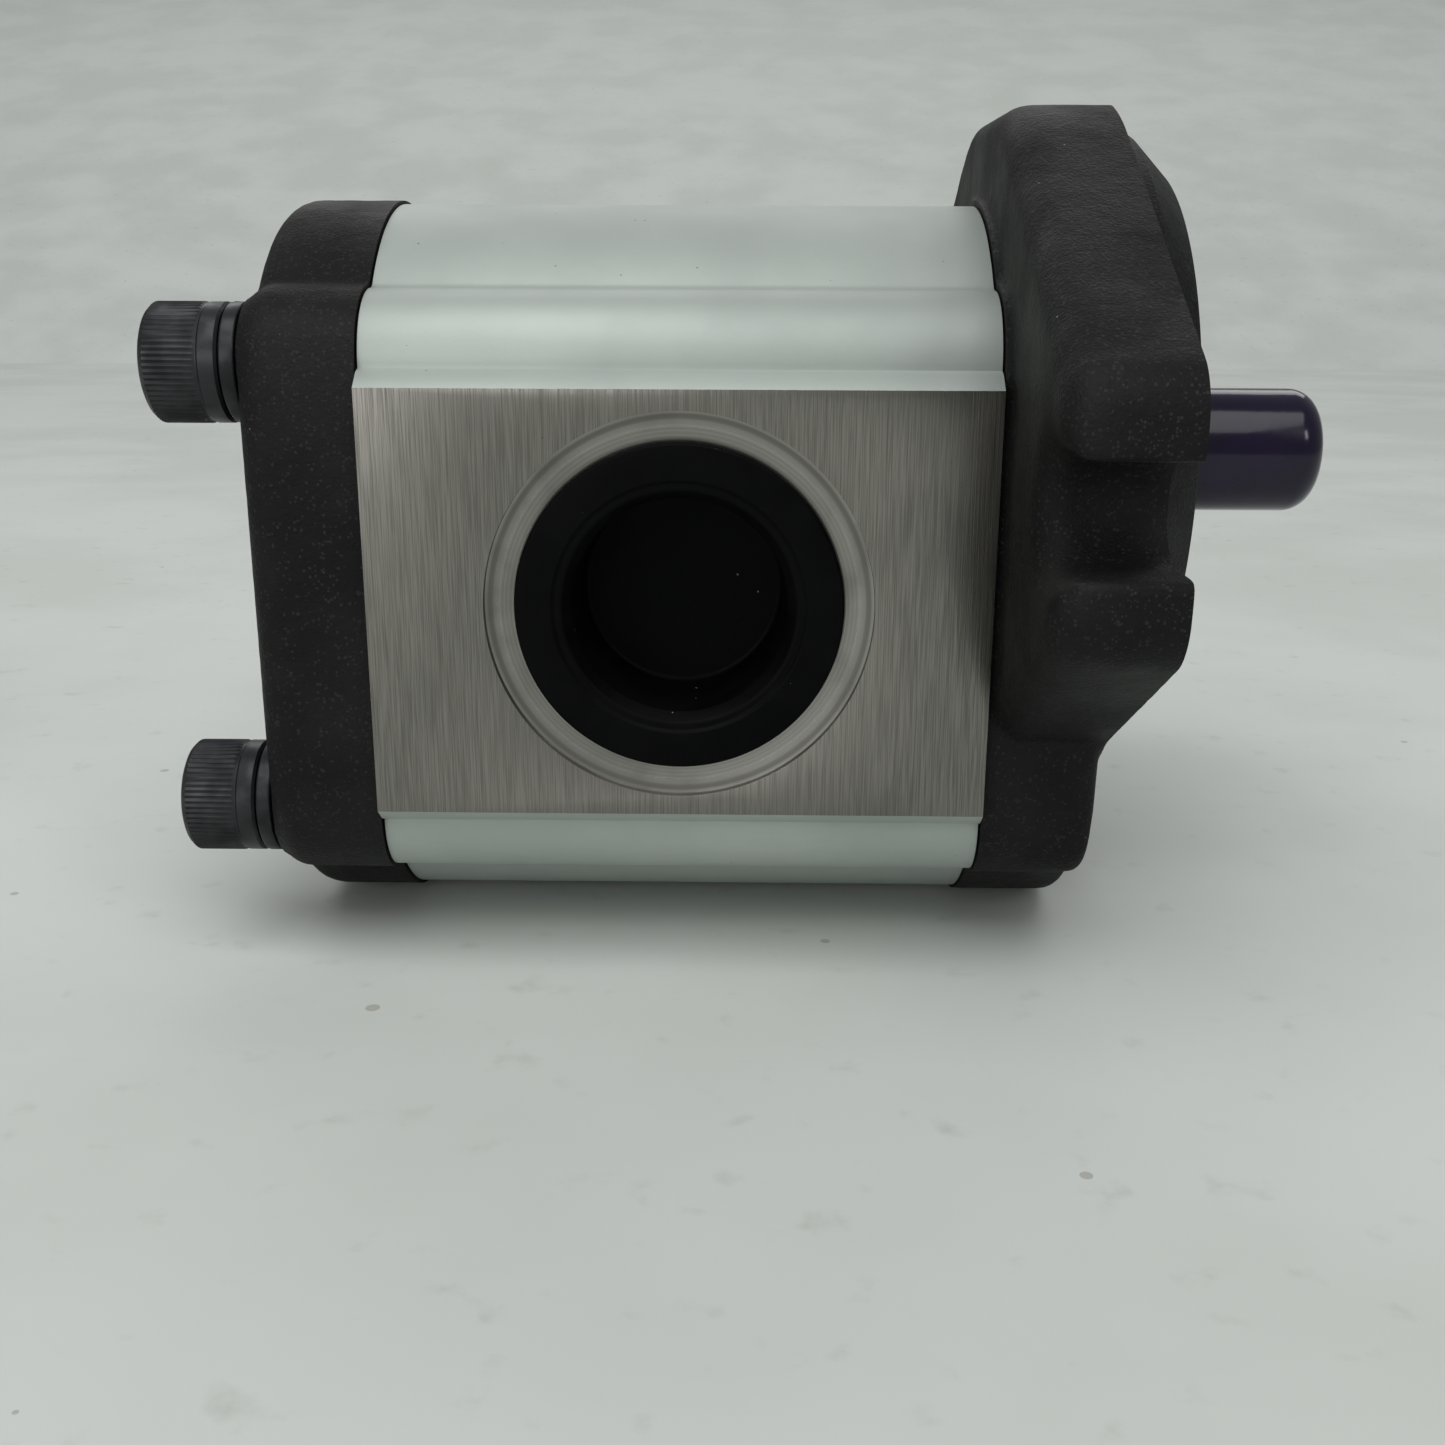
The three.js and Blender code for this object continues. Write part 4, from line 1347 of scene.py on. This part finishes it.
@dataclass(frozen=True)
class Section:
    """The housing's section: flat sides, four screw bosses and two gear lobes."""

    middle: float
    gear_rise: float
    lobe: float
    boss: float
    boss_place: tuple[float, float]
    half_width: float
    side: float
    valley: float = 2.2
    blend: float = 40.0
    boss_steps: int = 28
    blend_steps: int = 8
    valley_steps: int = 8
    lobe_steps: int = 56

    def outline(self, proud: float = 0.0, pad: tuple[float, float] | None = None) -> list[Vector]:
        """The section's outline as (y, z).

        Args:
            proud: How far it stands out of the bare section.
            pad: A pad's rise and half height, or None for a casting's flat sides.

        Returns:
            The outline's corners.
        """
        boss, lobe = Vector(self.boss_place), Vector((0.0, self.gear_rise))
        boss_radius, lobe_radius = self.boss + proud, self.lobe + proud
        dip = crossing(boss, boss_radius + self.valley, lobe, lobe_radius + self.valley)
        on_boss, on_lobe = angle_of(dip - boss), angle_of(dip - lobe)
        if pad:
            quarter = [Vector((self.half_width + pad[0], pad[1])),
                       Vector((self.half_width, self.side))]
            quarter += arc(boss, boss_radius, 0.0, on_boss, self.boss_steps)
        else:
            across = self.half_width + proud - self.blend
            rise = math.sqrt((self.blend - boss_radius) ** 2 - (boss.x - across) ** 2)
            bend = math.asin(rise / (self.blend - boss_radius))
            quarter = arc(Vector((across, boss.y - rise)), self.blend, 0.0, bend, self.blend_steps)
            quarter += arc(boss, boss_radius, bend, on_boss, self.boss_steps)[1:]
        quarter += arc(dip, self.valley, on_boss - math.pi, on_lobe - math.pi,
                       self.valley_steps)[1:]
        quarter += arc(lobe, lobe_radius, on_lobe, math.pi / 2, self.lobe_steps)[1:]
        upper = quarter + [Vector((-spot.x, spot.y)) for spot in reversed(quarter[:-1])]
        whole = upper + [-spot for spot in upper]
        return [spot + Vector((0.0, self.middle)) for spot in whole]


@dataclass
class Layout:
    """Where the main pieces lie, read from the CAD frame."""

    body: NodeBox = field(default_factory=lambda: NodeBox.of("body"))
    flange: NodeBox = field(default_factory=lambda: NodeBox.of("front_flange"))
    cover: NodeBox = field(default_factory=lambda: NodeBox.of("rear_cover"))
    drive: NodeBox = field(default_factory=lambda: NodeBox.of("drive_gear_shaft"))
    pad_rise: float = 2.5
    pad_height: float = 64.0
    pad_slope: float = 2.0
    boss: float = 11.0
    tip_clearance: float = 0.35

    @property
    def screws(self) -> tuple[tuple[float, float], ...]:
        """The screws' axes.

        Returns:
            Each axis as (y, z).
        """
        boxes = [NodeBox.of(f"socket_screw_{number}") for number in range(1, 5)]
        return tuple((box.centre.y, box.centre.z) for box in boxes)

    @property
    def middle(self) -> float:
        """The height halfway between the gears."""
        return self.body.centre.z

    @property
    def gear_rise(self) -> float:
        """Each gear axis's distance from the middle."""
        return -self.middle

    @property
    def gear_bore(self) -> float:
        """The gear bores' radius."""
        return self.drive.high.z + self.tip_clearance

    @property
    def port(self) -> Vector:
        """The middle of the body, where both ports' axes lie."""
        return Vector((self.body.centre.x, 0.0, self.middle))

    @property
    def section(self) -> Section:
        """The housing's section.

        Returns:
            The section, with its screw bosses round the screws.
        """
        y, z = self.screws[-1]
        return Section(
            middle=self.middle,
            gear_rise=self.gear_rise,
            lobe=self.body.high.z,
            boss=self.boss,
            boss_place=(y, z - self.middle),
            half_width=self.body.high.y - self.pad_rise,
            side=self.pad_height / 2 + self.pad_slope,
        )

    def screw_holes(self, radius: float, span: tuple[float, float]) -> list[Workpiece]:
        """The drills for the four screws.

        Args:
            radius: The holes' radius.
            span: Their two ends on X.

        Returns:
            The tools.
        """
        return [Workpiece.rod("hole", radius, span, screw, HOLE_SIDES) for screw in self.screws]


@dataclass
class PumpBody:
    """The extruded body with its milled pads, ports and bores."""

    layout: Layout
    finishes: Finishes
    edge: float = 0.22
    bore_sides: int = 160
    screw_hole: float = 6.4
    suction: Port = Port(-1, 29.0, 19.8, 13.0, 20.4)
    pressure: Port = Port(1, 24.5, 16.4, 10.0, 20.4)

    def build(self) -> None:
        """Models and places the body."""
        layout = self.layout
        span = (layout.body.low.x, layout.body.high.x)
        half = layout.body.high.y
        outline = layout.section.outline(pad=(layout.pad_rise, layout.pad_height / 2))
        body = Workpiece.extruded("pump_body", outline, span)
        reach = (span[0] - PAST, span[1] + PAST)
        bores = [Workpiece.rod("bore", layout.gear_bore, reach, (0.0, layout.middle + rise),
                               self.bore_sides)
                 for rise in (layout.gear_rise, -layout.gear_rise)]
        body.cut(*bores, *layout.screw_holes(self.screw_hole, reach))
        for port in (self.suction, self.pressure):
            body.cut(port.tool(layout.port + Vector((0.0, port.side * half, 0.0))))
        body.break_edges(self.edge)
        self._dress(body, half)
        body.shade(28.0).place("housing", "extrusion", "body")

    def _dress(self, body: Workpiece, half: float) -> None:
        """Gives the pads and the cut faces their own finishes.

        Args:
            body: The body.
            half: The pads' distance from the middle.
        """
        finishes, layout = self.finishes, self.layout
        low, high = layout.body.low.x, layout.body.high.x

        def on_pad(spot: Vector, normal: Vector) -> bool:
            """Whether a face is part of a pad."""
            return abs(normal.y) > 0.99 and abs(abs(spot.y) - half) < 0.05

        def cut_face(spot: Vector, normal: Vector) -> bool:
            """Tests for a face that a tool has left bright.

            Args:
                spot: The face's middle.
                normal: Its normal.

            Returns:
                True in a port, on an end and on a pad's edge.
            """
            if on_pad(spot, normal):
                return False
            radius = math.hypot(spot.x - layout.port.x, spot.z - layout.middle)
            in_port = radius < self.suction.spotface + 0.5 and abs(spot.y) < half
            at_end = min(abs(spot.x - low), abs(spot.x - high)) < self.edge * 1.2
            at_pad_edge = abs(spot.y) > half - 0.6
            return in_port or at_end or at_pad_edge

        body.dress(finishes.extrusion)
        body.dress_faces(finishes.pad, on_pad)
        body.dress_faces(finishes.bright, cut_face)


@dataclass
class RearCover:
    """The cast rear cover, with a flat seat round each screw."""

    layout: Layout
    finishes: Finishes
    proud: float = 0.6
    rounding: float = 4.5
    seat: float = 9.7
    screw_hole: float = 6.4
    voxel: float = 0.75
    roughness: float = 0.14
    spare: float = 2.0

    def build(self) -> None:
        """Models and places the cover."""
        low, high = self.layout.cover.low.x, self.layout.cover.high.x
        span = (low, high + self.spare)
        cover = Workpiece.extruded("cast_rear_cover", self.layout.section.outline(self.proud), span)
        cover.bevel_edges(self.rounding, 6, lambda spot, way: abs(spot.x - low) < 0.01)
        seats = [Workpiece.rod("seat", self.seat, span, screw) for screw in self.layout.screws]
        cover.gather(*seats).cast(self.voxel, self.roughness)
        cover.mill_flat(high, keep_below=True)
        cover.cut(*self.layout.screw_holes(self.screw_hole, (low - PAST, high + PAST)))
        cover.dress(self.finishes.casting).shade(40.0).place("housing", "casting", "rear_cover")


@dataclass
class FrontFlange:
    """The cast flange: a two-bolt plate with open slots, on a base that follows the body."""

    layout: Layout
    finishes: Finishes
    proud: float = 0.6
    base_rounding: float = 2.5
    plate_back: float = -17.3
    plate_radius: float = 56.0
    plate_top: float = 53.8
    plate_rounding: float = 4.8
    ear_corner: float = 9.0
    ear_corner_rise: float = 11.8
    slot_width: float = 14.3
    bolt_reach: float = 73.0
    pilot: float = 50.8
    pilot_chamfer: float = 5.6
    pilot_rounding: float = 0.8
    pilot_root: float = 4.0
    passage: float = 11.6
    pocket: float = 20.0
    pocket_floor: float = -6.0
    pocket_lead: float = 1.0
    clip_groove: float = 1.3
    clip_gap: float = 0.3
    voxel: float = 0.95
    roughness: float = 0.14
    spare: float = 2.0
    sunk: float = 0.4

    def build(self) -> None:
        """Models and places the flange."""
        back = self.layout.flange.low.x
        front = -self.sunk
        flange = Workpiece.extruded("cast_front_flange", self.layout.section.outline(self.proud),
                                    (back - self.spare, front))
        flange.bevel_edges(self.base_rounding, 6, lambda spot, way: abs(spot.x - front) < 0.01)
        flange.gather(self._plate()).cast(self.voxel, self.roughness)
        flange.mill_flat(0.0, keep_below=True).mill_flat(back, keep_below=False)
        flange.join(self._pilot())
        flange.cut(self._seal_pocket())
        flange.dress(self.finishes.casting).shade(40.0).place("housing", "casting", "front_flange")

    def _plate(self) -> Workpiece:
        """The two-bolt plate with its open slots and its back edges rounded.

        Returns:
            The plate.
        """
        ear = self.layout.flange.high.y - self.ear_corner
        lean = math.atan2(ear, self.ear_corner_rise)
        apart = math.hypot(ear, self.ear_corner_rise)
        flank = math.pi / 2 - (lean - math.acos((self.plate_radius - self.ear_corner) / apart))
        flat = math.asin(self.plate_top / self.plate_radius)
        middle, half = Vector((0.0, 0.0)), self.slot_width / 2
        slot = arc(Vector((self.bolt_reach, 0.0)), half, -math.pi / 2, -1.5 * math.pi, 24)
        mouth = self.layout.flange.high.y
        right = [Vector((mouth, -half))] + slot + [Vector((mouth, half))]
        upper = arc(Vector((ear, self.ear_corner_rise)), self.ear_corner, 0.0, flank, 12)
        lower = [Vector((spot.x, -spot.y)) for spot in reversed(upper)]
        outline = right + upper + arc(middle, self.plate_radius, flank, flat, 10)[1:]
        outline += [Vector((-spot.x, spot.y)) for spot in reversed(outline)]
        outline += [Vector((-spot.x, spot.y)) for spot in reversed(lower)]
        outline += arc(middle, self.plate_radius, math.pi + flank, math.tau - flank, 40)[1:-1]
        outline += lower
        plate = Workpiece.extruded("plate", outline, (self.plate_back, self.spare))
        return plate.bevel_edges(self.plate_rounding, 6,
                                 lambda spot, way: abs(spot.x - self.plate_back) < 0.01)

    def _pilot(self) -> Workpiece:
        """The turned pilot in front of the plate.

        Returns:
            The pilot, with a root that sinks into the plate.
        """
        front = self.layout.flange.high.x
        edge, soft = self.pilot_chamfer, self.pilot_rounding
        corners = [
            (-self.pilot_root, 0.0, 0.0),
            (-self.pilot_root, self.pilot, 0.0),
            (front - edge, self.pilot, soft),
            (front, self.pilot - edge, soft),
            (front, 0.0, 0.0),
        ]
        return Workpiece.turned("pilot", rounded(corners), (0.0, 0.0, 0.0), sides=192)

    def _seal_pocket(self) -> Workpiece:
        """The cutter for the shaft's passage, the seal's pocket and the retaining ring's groove.

        Returns:
            The tool.
        """
        front = self.layout.flange.high.x
        behind = self.layout.flange.low.x - self.spare
        ring = NodeBox.of("retaining_ring")
        groove = self.pocket + self.clip_groove
        gap, lead = self.clip_gap, self.pocket_lead
        profile: Profile = [
            (behind, 0.0),
            (behind, self.passage),
            (self.pocket_floor, self.passage),
            (self.pocket_floor, self.pocket),
            (ring.low.x - gap, self.pocket),
            (ring.low.x - gap, groove),
            (ring.high.x + gap, groove),
            (ring.high.x + gap, self.pocket),
            (front - lead, self.pocket),
            (front + lead, self.pocket + 2 * lead),
            (front + lead, 0.0),
        ]
        return Workpiece.turned("pocket_tool", profile, (0.0, 0.0, 0.0), sides=128)


@dataclass
class SocketScrews:
    """The four long socket screws and their split washers."""

    layout: Layout
    finishes: Finishes
    head: float = 9.0
    head_height: float = 12.0
    band: float = 3.0
    groove: float = 0.3
    shank: float = 6.0
    flats: float = 10.0
    socket_depth: float = 6.0
    socket_lip: float = 0.5
    ridges: int = 64
    ridge_depth: float = 0.24
    washer_bore: float = 6.4
    split: float = 1.6
    split_lean: float = 20.0

    def build(self) -> None:
        """Models one screw and one washer, and copies them to the other places."""
        places = [NodeBox.of(f"socket_screw_{number}") for number in range(1, 5)]
        kinds = {
            "socket_screw": self._screw(places[0]),
            "spring_washer": self._washer(NodeBox.of("spring_washer_1")),
        }
        for node, first in kinds.items():
            name = first.shade(30.0).obj.name[:-1]
            pieces = [first] + [first.copy(f"{name}{number}", place.centre - places[0].centre)
                                for number, place in enumerate(places[1:], start=2)]
            for number, piece in enumerate(pieces, start=1):
                piece.place("housing", "black_oxide", f"{node}_{number}")

    def _screw(self, box: NodeBox) -> Workpiece:
        """Models the first screw.

        Args:
            box: Its CAD node's box.

        Returns:
            The screw.
        """
        top = box.low.x
        seat = top + self.head_height
        knurl_end = seat - self.band - self.groove
        corners = [
            (top, 0.0, 0.0),
            (top, self.head - 1.5, 0.0),
            (top + 0.35, self.head - 0.75, 0.3),
            (top + 1.1, self.head, 0.0),
            (knurl_end - 0.4, self.head, 0.0),
            (knurl_end, self.head - self.groove, 0.0),
            (knurl_end + self.groove, self.head - self.groove, 0.0),
            (knurl_end + self.groove + 0.3, self.head - 0.05, 0.0),
            (seat - 0.4, self.head - 0.05, 0.0),
            (seat, self.head - 0.45, 0.0),
            (seat, self.shank, 0.0),
            (box.high.x - 1.0, self.shank, 0.0),
            (box.high.x, self.shank - 1.0, 0.0),
            (box.high.x, 0.0, 0.0),
        ]
        centre = (0.0, box.centre.y, box.centre.z)
        screw = Workpiece.turned("cap_screw_1", rounded(corners, 3), centre, sides=2 * self.ridges)
        self._knurl(screw, box, (top + 0.9, knurl_end - 0.2))
        corner = self.flats / math.sqrt(3.0)
        socket = Workpiece.rod("socket", corner, (top - PAST, top + self.socket_depth),
                               (box.centre.y, box.centre.z), 6)
        lip = self.socket_lip
        lead: Profile = [(top - lip, 0.0), (top - lip, corner + 2 * lip), (top + corner + lip, 0.0)]
        screw.cut(socket, Workpiece.turned("lead", lead, centre, sides=64))
        return screw.dress(self.finishes.oxide)

    def _knurl(self, screw: Workpiece, box: NodeBox, band: tuple[float, float]) -> None:
        """Presses straight knurls into the head.

        Args:
            screw: The screw.
            box: Its CAD node's box.
            band: The knurl's ends on X.
        """
        step = math.tau / (2 * self.ridges)
        screw.make_active()
        mesh = screw.obj.data
        for item in (*mesh.edges, *mesh.polygons):
            item.select = False
        for vertex in mesh.vertices:
            spot = vertex.co / MM
            arm = Vector((spot.y - box.centre.y, spot.z - box.centre.z))
            turn = round(math.atan2(arm.y, arm.x) / step)
            on_band = band[0] < spot.x < band[1] and arm.length > self.head - 0.2
            vertex.select = on_band and turn % 2 == 1
        bpy.context.tool_settings.mesh_select_mode = (True, False, False)
        bpy.ops.object.mode_set(mode="EDIT")
        shrink = 1.0 - self.ridge_depth / self.head
        bpy.ops.transform.resize(value=(1.0, shrink, shrink),
                                 center_override=Vector((0.0, box.centre.y, box.centre.z)) * MM)
        bpy.ops.object.mode_set(mode="OBJECT")

    def _washer(self, box: NodeBox) -> Workpiece:
        """Models the first washer.

        Args:
            box: Its CAD node's box.

        Returns:
            The washer.
        """
        low, high = box.low.x, box.high.x
        outer, bore, edge = self.head - 0.02, self.washer_bore, 0.35
        corners = [
            (low, (outer + bore) / 2, 0.0),
            (low, outer, edge),
            (high, outer, edge),
            (high, bore, edge),
            (low, bore, edge),
            (low, (outer + bore) / 2, 0.0),
        ]
        screw = NodeBox.of("socket_screw_1").centre
        washer = Workpiece.turned("split_washer_1", rounded(corners, 3), (0.0, screw.y, screw.z))
        middle = Vector(((low + high) / 2, screw.y, screw.z))
        half = Vector((3.0, self.split / 2, 0.0))
        above = Vector((0.0, 0.0, 2 * self.head))
        split = Workpiece.block("split", middle - half, middle + half + above)
        lean = Matrix.Rotation(math.radians(self.split_lean), 4, "Z")
        there, back = Matrix.Translation(middle * MM), Matrix.Translation(-middle * MM)
        split.obj.data.transform(there @ lean @ back)
        return washer.cut(split).dress(self.finishes.oxide)


@dataclass
class PortPlug:
    """A hollow moulded port plug with a flat rim."""

    finishes: Finishes
    node: str
    body: str
    side: int
    barrel: float
    wall: float = 3.3
    floor: float = 1.5
    rim_height: float = 1.2

    def build(self) -> None:
        """Models and places the plug."""
        box = NodeBox.of(self.node)
        axis = Axis.Y if self.side > 0 else Axis.MINUS_Y
        top = max(abs(box.low.y), abs(box.high.y))
        bottom = min(abs(box.low.y), abs(box.high.y))
        rim = box.size.x / 2
        hole = self.barrel - self.wall
        under = top - self.rim_height
        corners = [
            (bottom, 0.0, 0.0),
            (bottom, self.barrel, 1.0),
            (under, self.barrel, 0.0),
            (under, rim, 0.2),
            (top, rim, 0.5),
            (top, hole + 2.9, 0.4),
            (top - 0.45, hole + 2.4, 0.25),
            (top - 0.45, hole + 1.4, 0.8),
            (top - 2.4, hole, 0.6),
            (bottom + self.floor, hole - 0.5, 0.9),
            (bottom + self.floor, 0.0, 0.0),
        ]
        plug = Workpiece.turned(f"moulded_{self.node}", rounded(corners, 4),
                                (box.centre.x, 0.0, box.centre.z), axis, sides=160)
        plug.dress(self.finishes.plastic).shade(35.0)
        plug.place(self.body, "plug_plastic", self.node)


@dataclass
class ShaftCap:
    """The soft dipped cap over the splined shaft end."""

    finishes: Finishes
    wall: float = 0.7
    floor: float = 2.2
    rounding: float = 4.6

    def build(self) -> None:
        """Models and places the cap."""
        box = NodeBox.of("shaft_cap")
        outer = box.size.y / 2
        inner = outer - self.wall
        corners = [
            (box.low.x + self.wall / 2, inner, 0.0),
            (box.low.x, inner, 0.2),
            (box.low.x, outer, 0.3),
            (box.high.x, outer, self.rounding),
            (box.high.x, 0.0, 0.0),
        ]
        lining = [
            (box.high.x - self.floor, 0.0),
            (box.high.x - self.floor, inner - 1.0),
            (box.high.x - self.floor - 1.0, inner),
            (box.low.x + self.wall / 2, inner),
        ]
        cap = Workpiece.turned("dipped_cap", rounded(corners, 10) + lining, (0.0, 0.0, 0.0))
        cap.dress(self.finishes.vinyl).shade(35.0).place("cap", "vinyl", "shaft_cap")


@dataclass
class InnerPieces:
    """The CAD nodes that stay as they are and get a finish."""

    finishes: Finishes

    def build(self) -> None:
        """Dresses every CAD node that is still shown."""
        slots = {part["node"]: part["material_slot"] for part in frame["record"]["subparts"]}
        for name, obj in frame["nodes"].items():
            if obj.hide_render:
                continue
            obj.data.materials.clear()
            obj.data.materials.append(self.finishes.by_slot[slots[name]])
            log.info("%s keeps its CAD shape, in %s", name, slots[name])


# ---------------------------------------------------------------- studio


@dataclass(frozen=True)
class Panel:
    """A soft light panel that faces the pump: its place and sizes in metres, its power in watts."""

    name: str
    place: tuple[float, float, float]
    size: tuple[float, float]
    power: float


@dataclass
class Studio:
    """A pale table, soft lights and the camera."""

    effects: Effects
    table_side: float = 3000.0
    table_front: float = 2500.0
    table_back: float = 1500.0
    table_thickness: float = 20.0
    wall: tuple[float, float, float] = (0.0, 3000.0, 1300.0)
    wall_bend: float = 900.0
    world_tone: Colour = (0.80, 0.83, 0.82)
    world_strength: float = 0.31
    panels: tuple[Panel, ...] = (
        Panel("overhead", (-0.3, -1.0, 2.1), (3.0, 2.0), 44.0),
        Panel("back_wash", (0.0, 2.6, 1.9), (4.0, 1.2), 25.0),
        Panel("front_fill", (-0.9, -1.7, 0.5), (1.6, 0.7), 8.0),
        Panel("window", (0.62, -0.75, 0.55), (0.16, 0.26), 0.9),
    )
    camera_place: tuple[float, float, float] = (-55.6, -270.7, 30.0)
    camera_turn: tuple[float, float, float] = (73.64, -0.24, 0.80)
    lens: float = 38.84
    sensor: float = 36.0

    def build(self) -> None:
        """Sets the studio up."""
        self._floor()
        self._world()
        self._lights()
        self._camera()

    def _floor(self) -> None:
        """A table that sweeps up into a wall behind the pump."""
        leave_selection()
        level = CAD_BOX[0].z / MM
        back = self.table_back
        low = (-self.table_side, -self.table_front, level - self.table_thickness)
        sweep = Workpiece.block("floor", low, (self.table_side, back, level))

        def at_back(spot: Vector, way: Vector) -> bool:
            """Whether an edge is the table's upper back edge."""
            return abs(spot.y - back) < 1 and abs(spot.z - level) < 1

        sweep.select_edges(at_back)
        bpy.ops.mesh.extrude_edges_move(TRANSFORM_OT_translate={"value": Vector(self.wall) * MM})
        bpy.ops.object.mode_set(mode="OBJECT")
        sweep.bevel_edges(self.wall_bend, 24, at_back)
        sweep.dress(TableTop().build(self.effects)).shade(60.0)

    def _world(self) -> None:
        """Even pale light from all round."""
        world = bpy.data.worlds.new("studio")
        bpy.context.scene.world = world
        world.use_nodes = True
        bpy.context.scene.view_settings.view_transform = "Standard"
        background = world.node_tree.nodes["Background"]
        background.inputs["Color"].default_value = (*self.world_tone, 1.0)
        background.inputs["Strength"].default_value = self.world_strength

    def _lights(self) -> None:
        """A large soft light above, a panel behind, a fill in front and a small window."""
        target = Vector(((CAD_BOX[0].x + CAD_BOX[1].x) / 2, 0.0, 0.0))
        for panel in self.panels:
            light = bpy.data.lights.new(panel.name, "AREA")
            light.shape = "RECTANGLE"
            light.size, light.size_y = panel.size
            light.energy = panel.power
            lamp = bpy.data.objects.new(panel.name, light)
            bpy.context.scene.collection.objects.link(lamp)
            lamp.location = panel.place
            way = target - Vector(panel.place)
            lamp.rotation_euler = way.to_track_quat("-Z", "Y").to_euler()

    def _camera(self) -> None:
        """The camera, which looks slightly down at the suction side."""
        data = bpy.data.cameras.new("camera")
        data.lens = self.lens
        data.sensor_width = self.sensor
        camera = bpy.data.objects.new("camera", data)
        bpy.context.scene.collection.objects.link(camera)
        camera.location = Vector(self.camera_place) * MM
        camera.rotation_euler = [math.radians(angle) for angle in self.camera_turn]
        bpy.context.scene.camera = camera


def main() -> None:
    """Builds the pump's pieces in order, then the studio."""
    logging.basicConfig(level=logging.INFO, format="%(message)s")
    finishes = Finishes()
    layout = Layout()
    PumpBody(layout, finishes).build()
    RearCover(layout, finishes).build()
    FrontFlange(layout, finishes).build()
    SocketScrews(layout, finishes).build()
    PortPlug(finishes, "suction_port_plug", "suction_plug", -1, 19.5).build()
    PortPlug(finishes, "pressure_port_plug", "pressure_plug", 1, 16.1).build()
    ShaftCap(finishes).build()
    InnerPieces(finishes).build()
    Studio(finishes.effects).build()


if __name__ == "__main__":
    main()
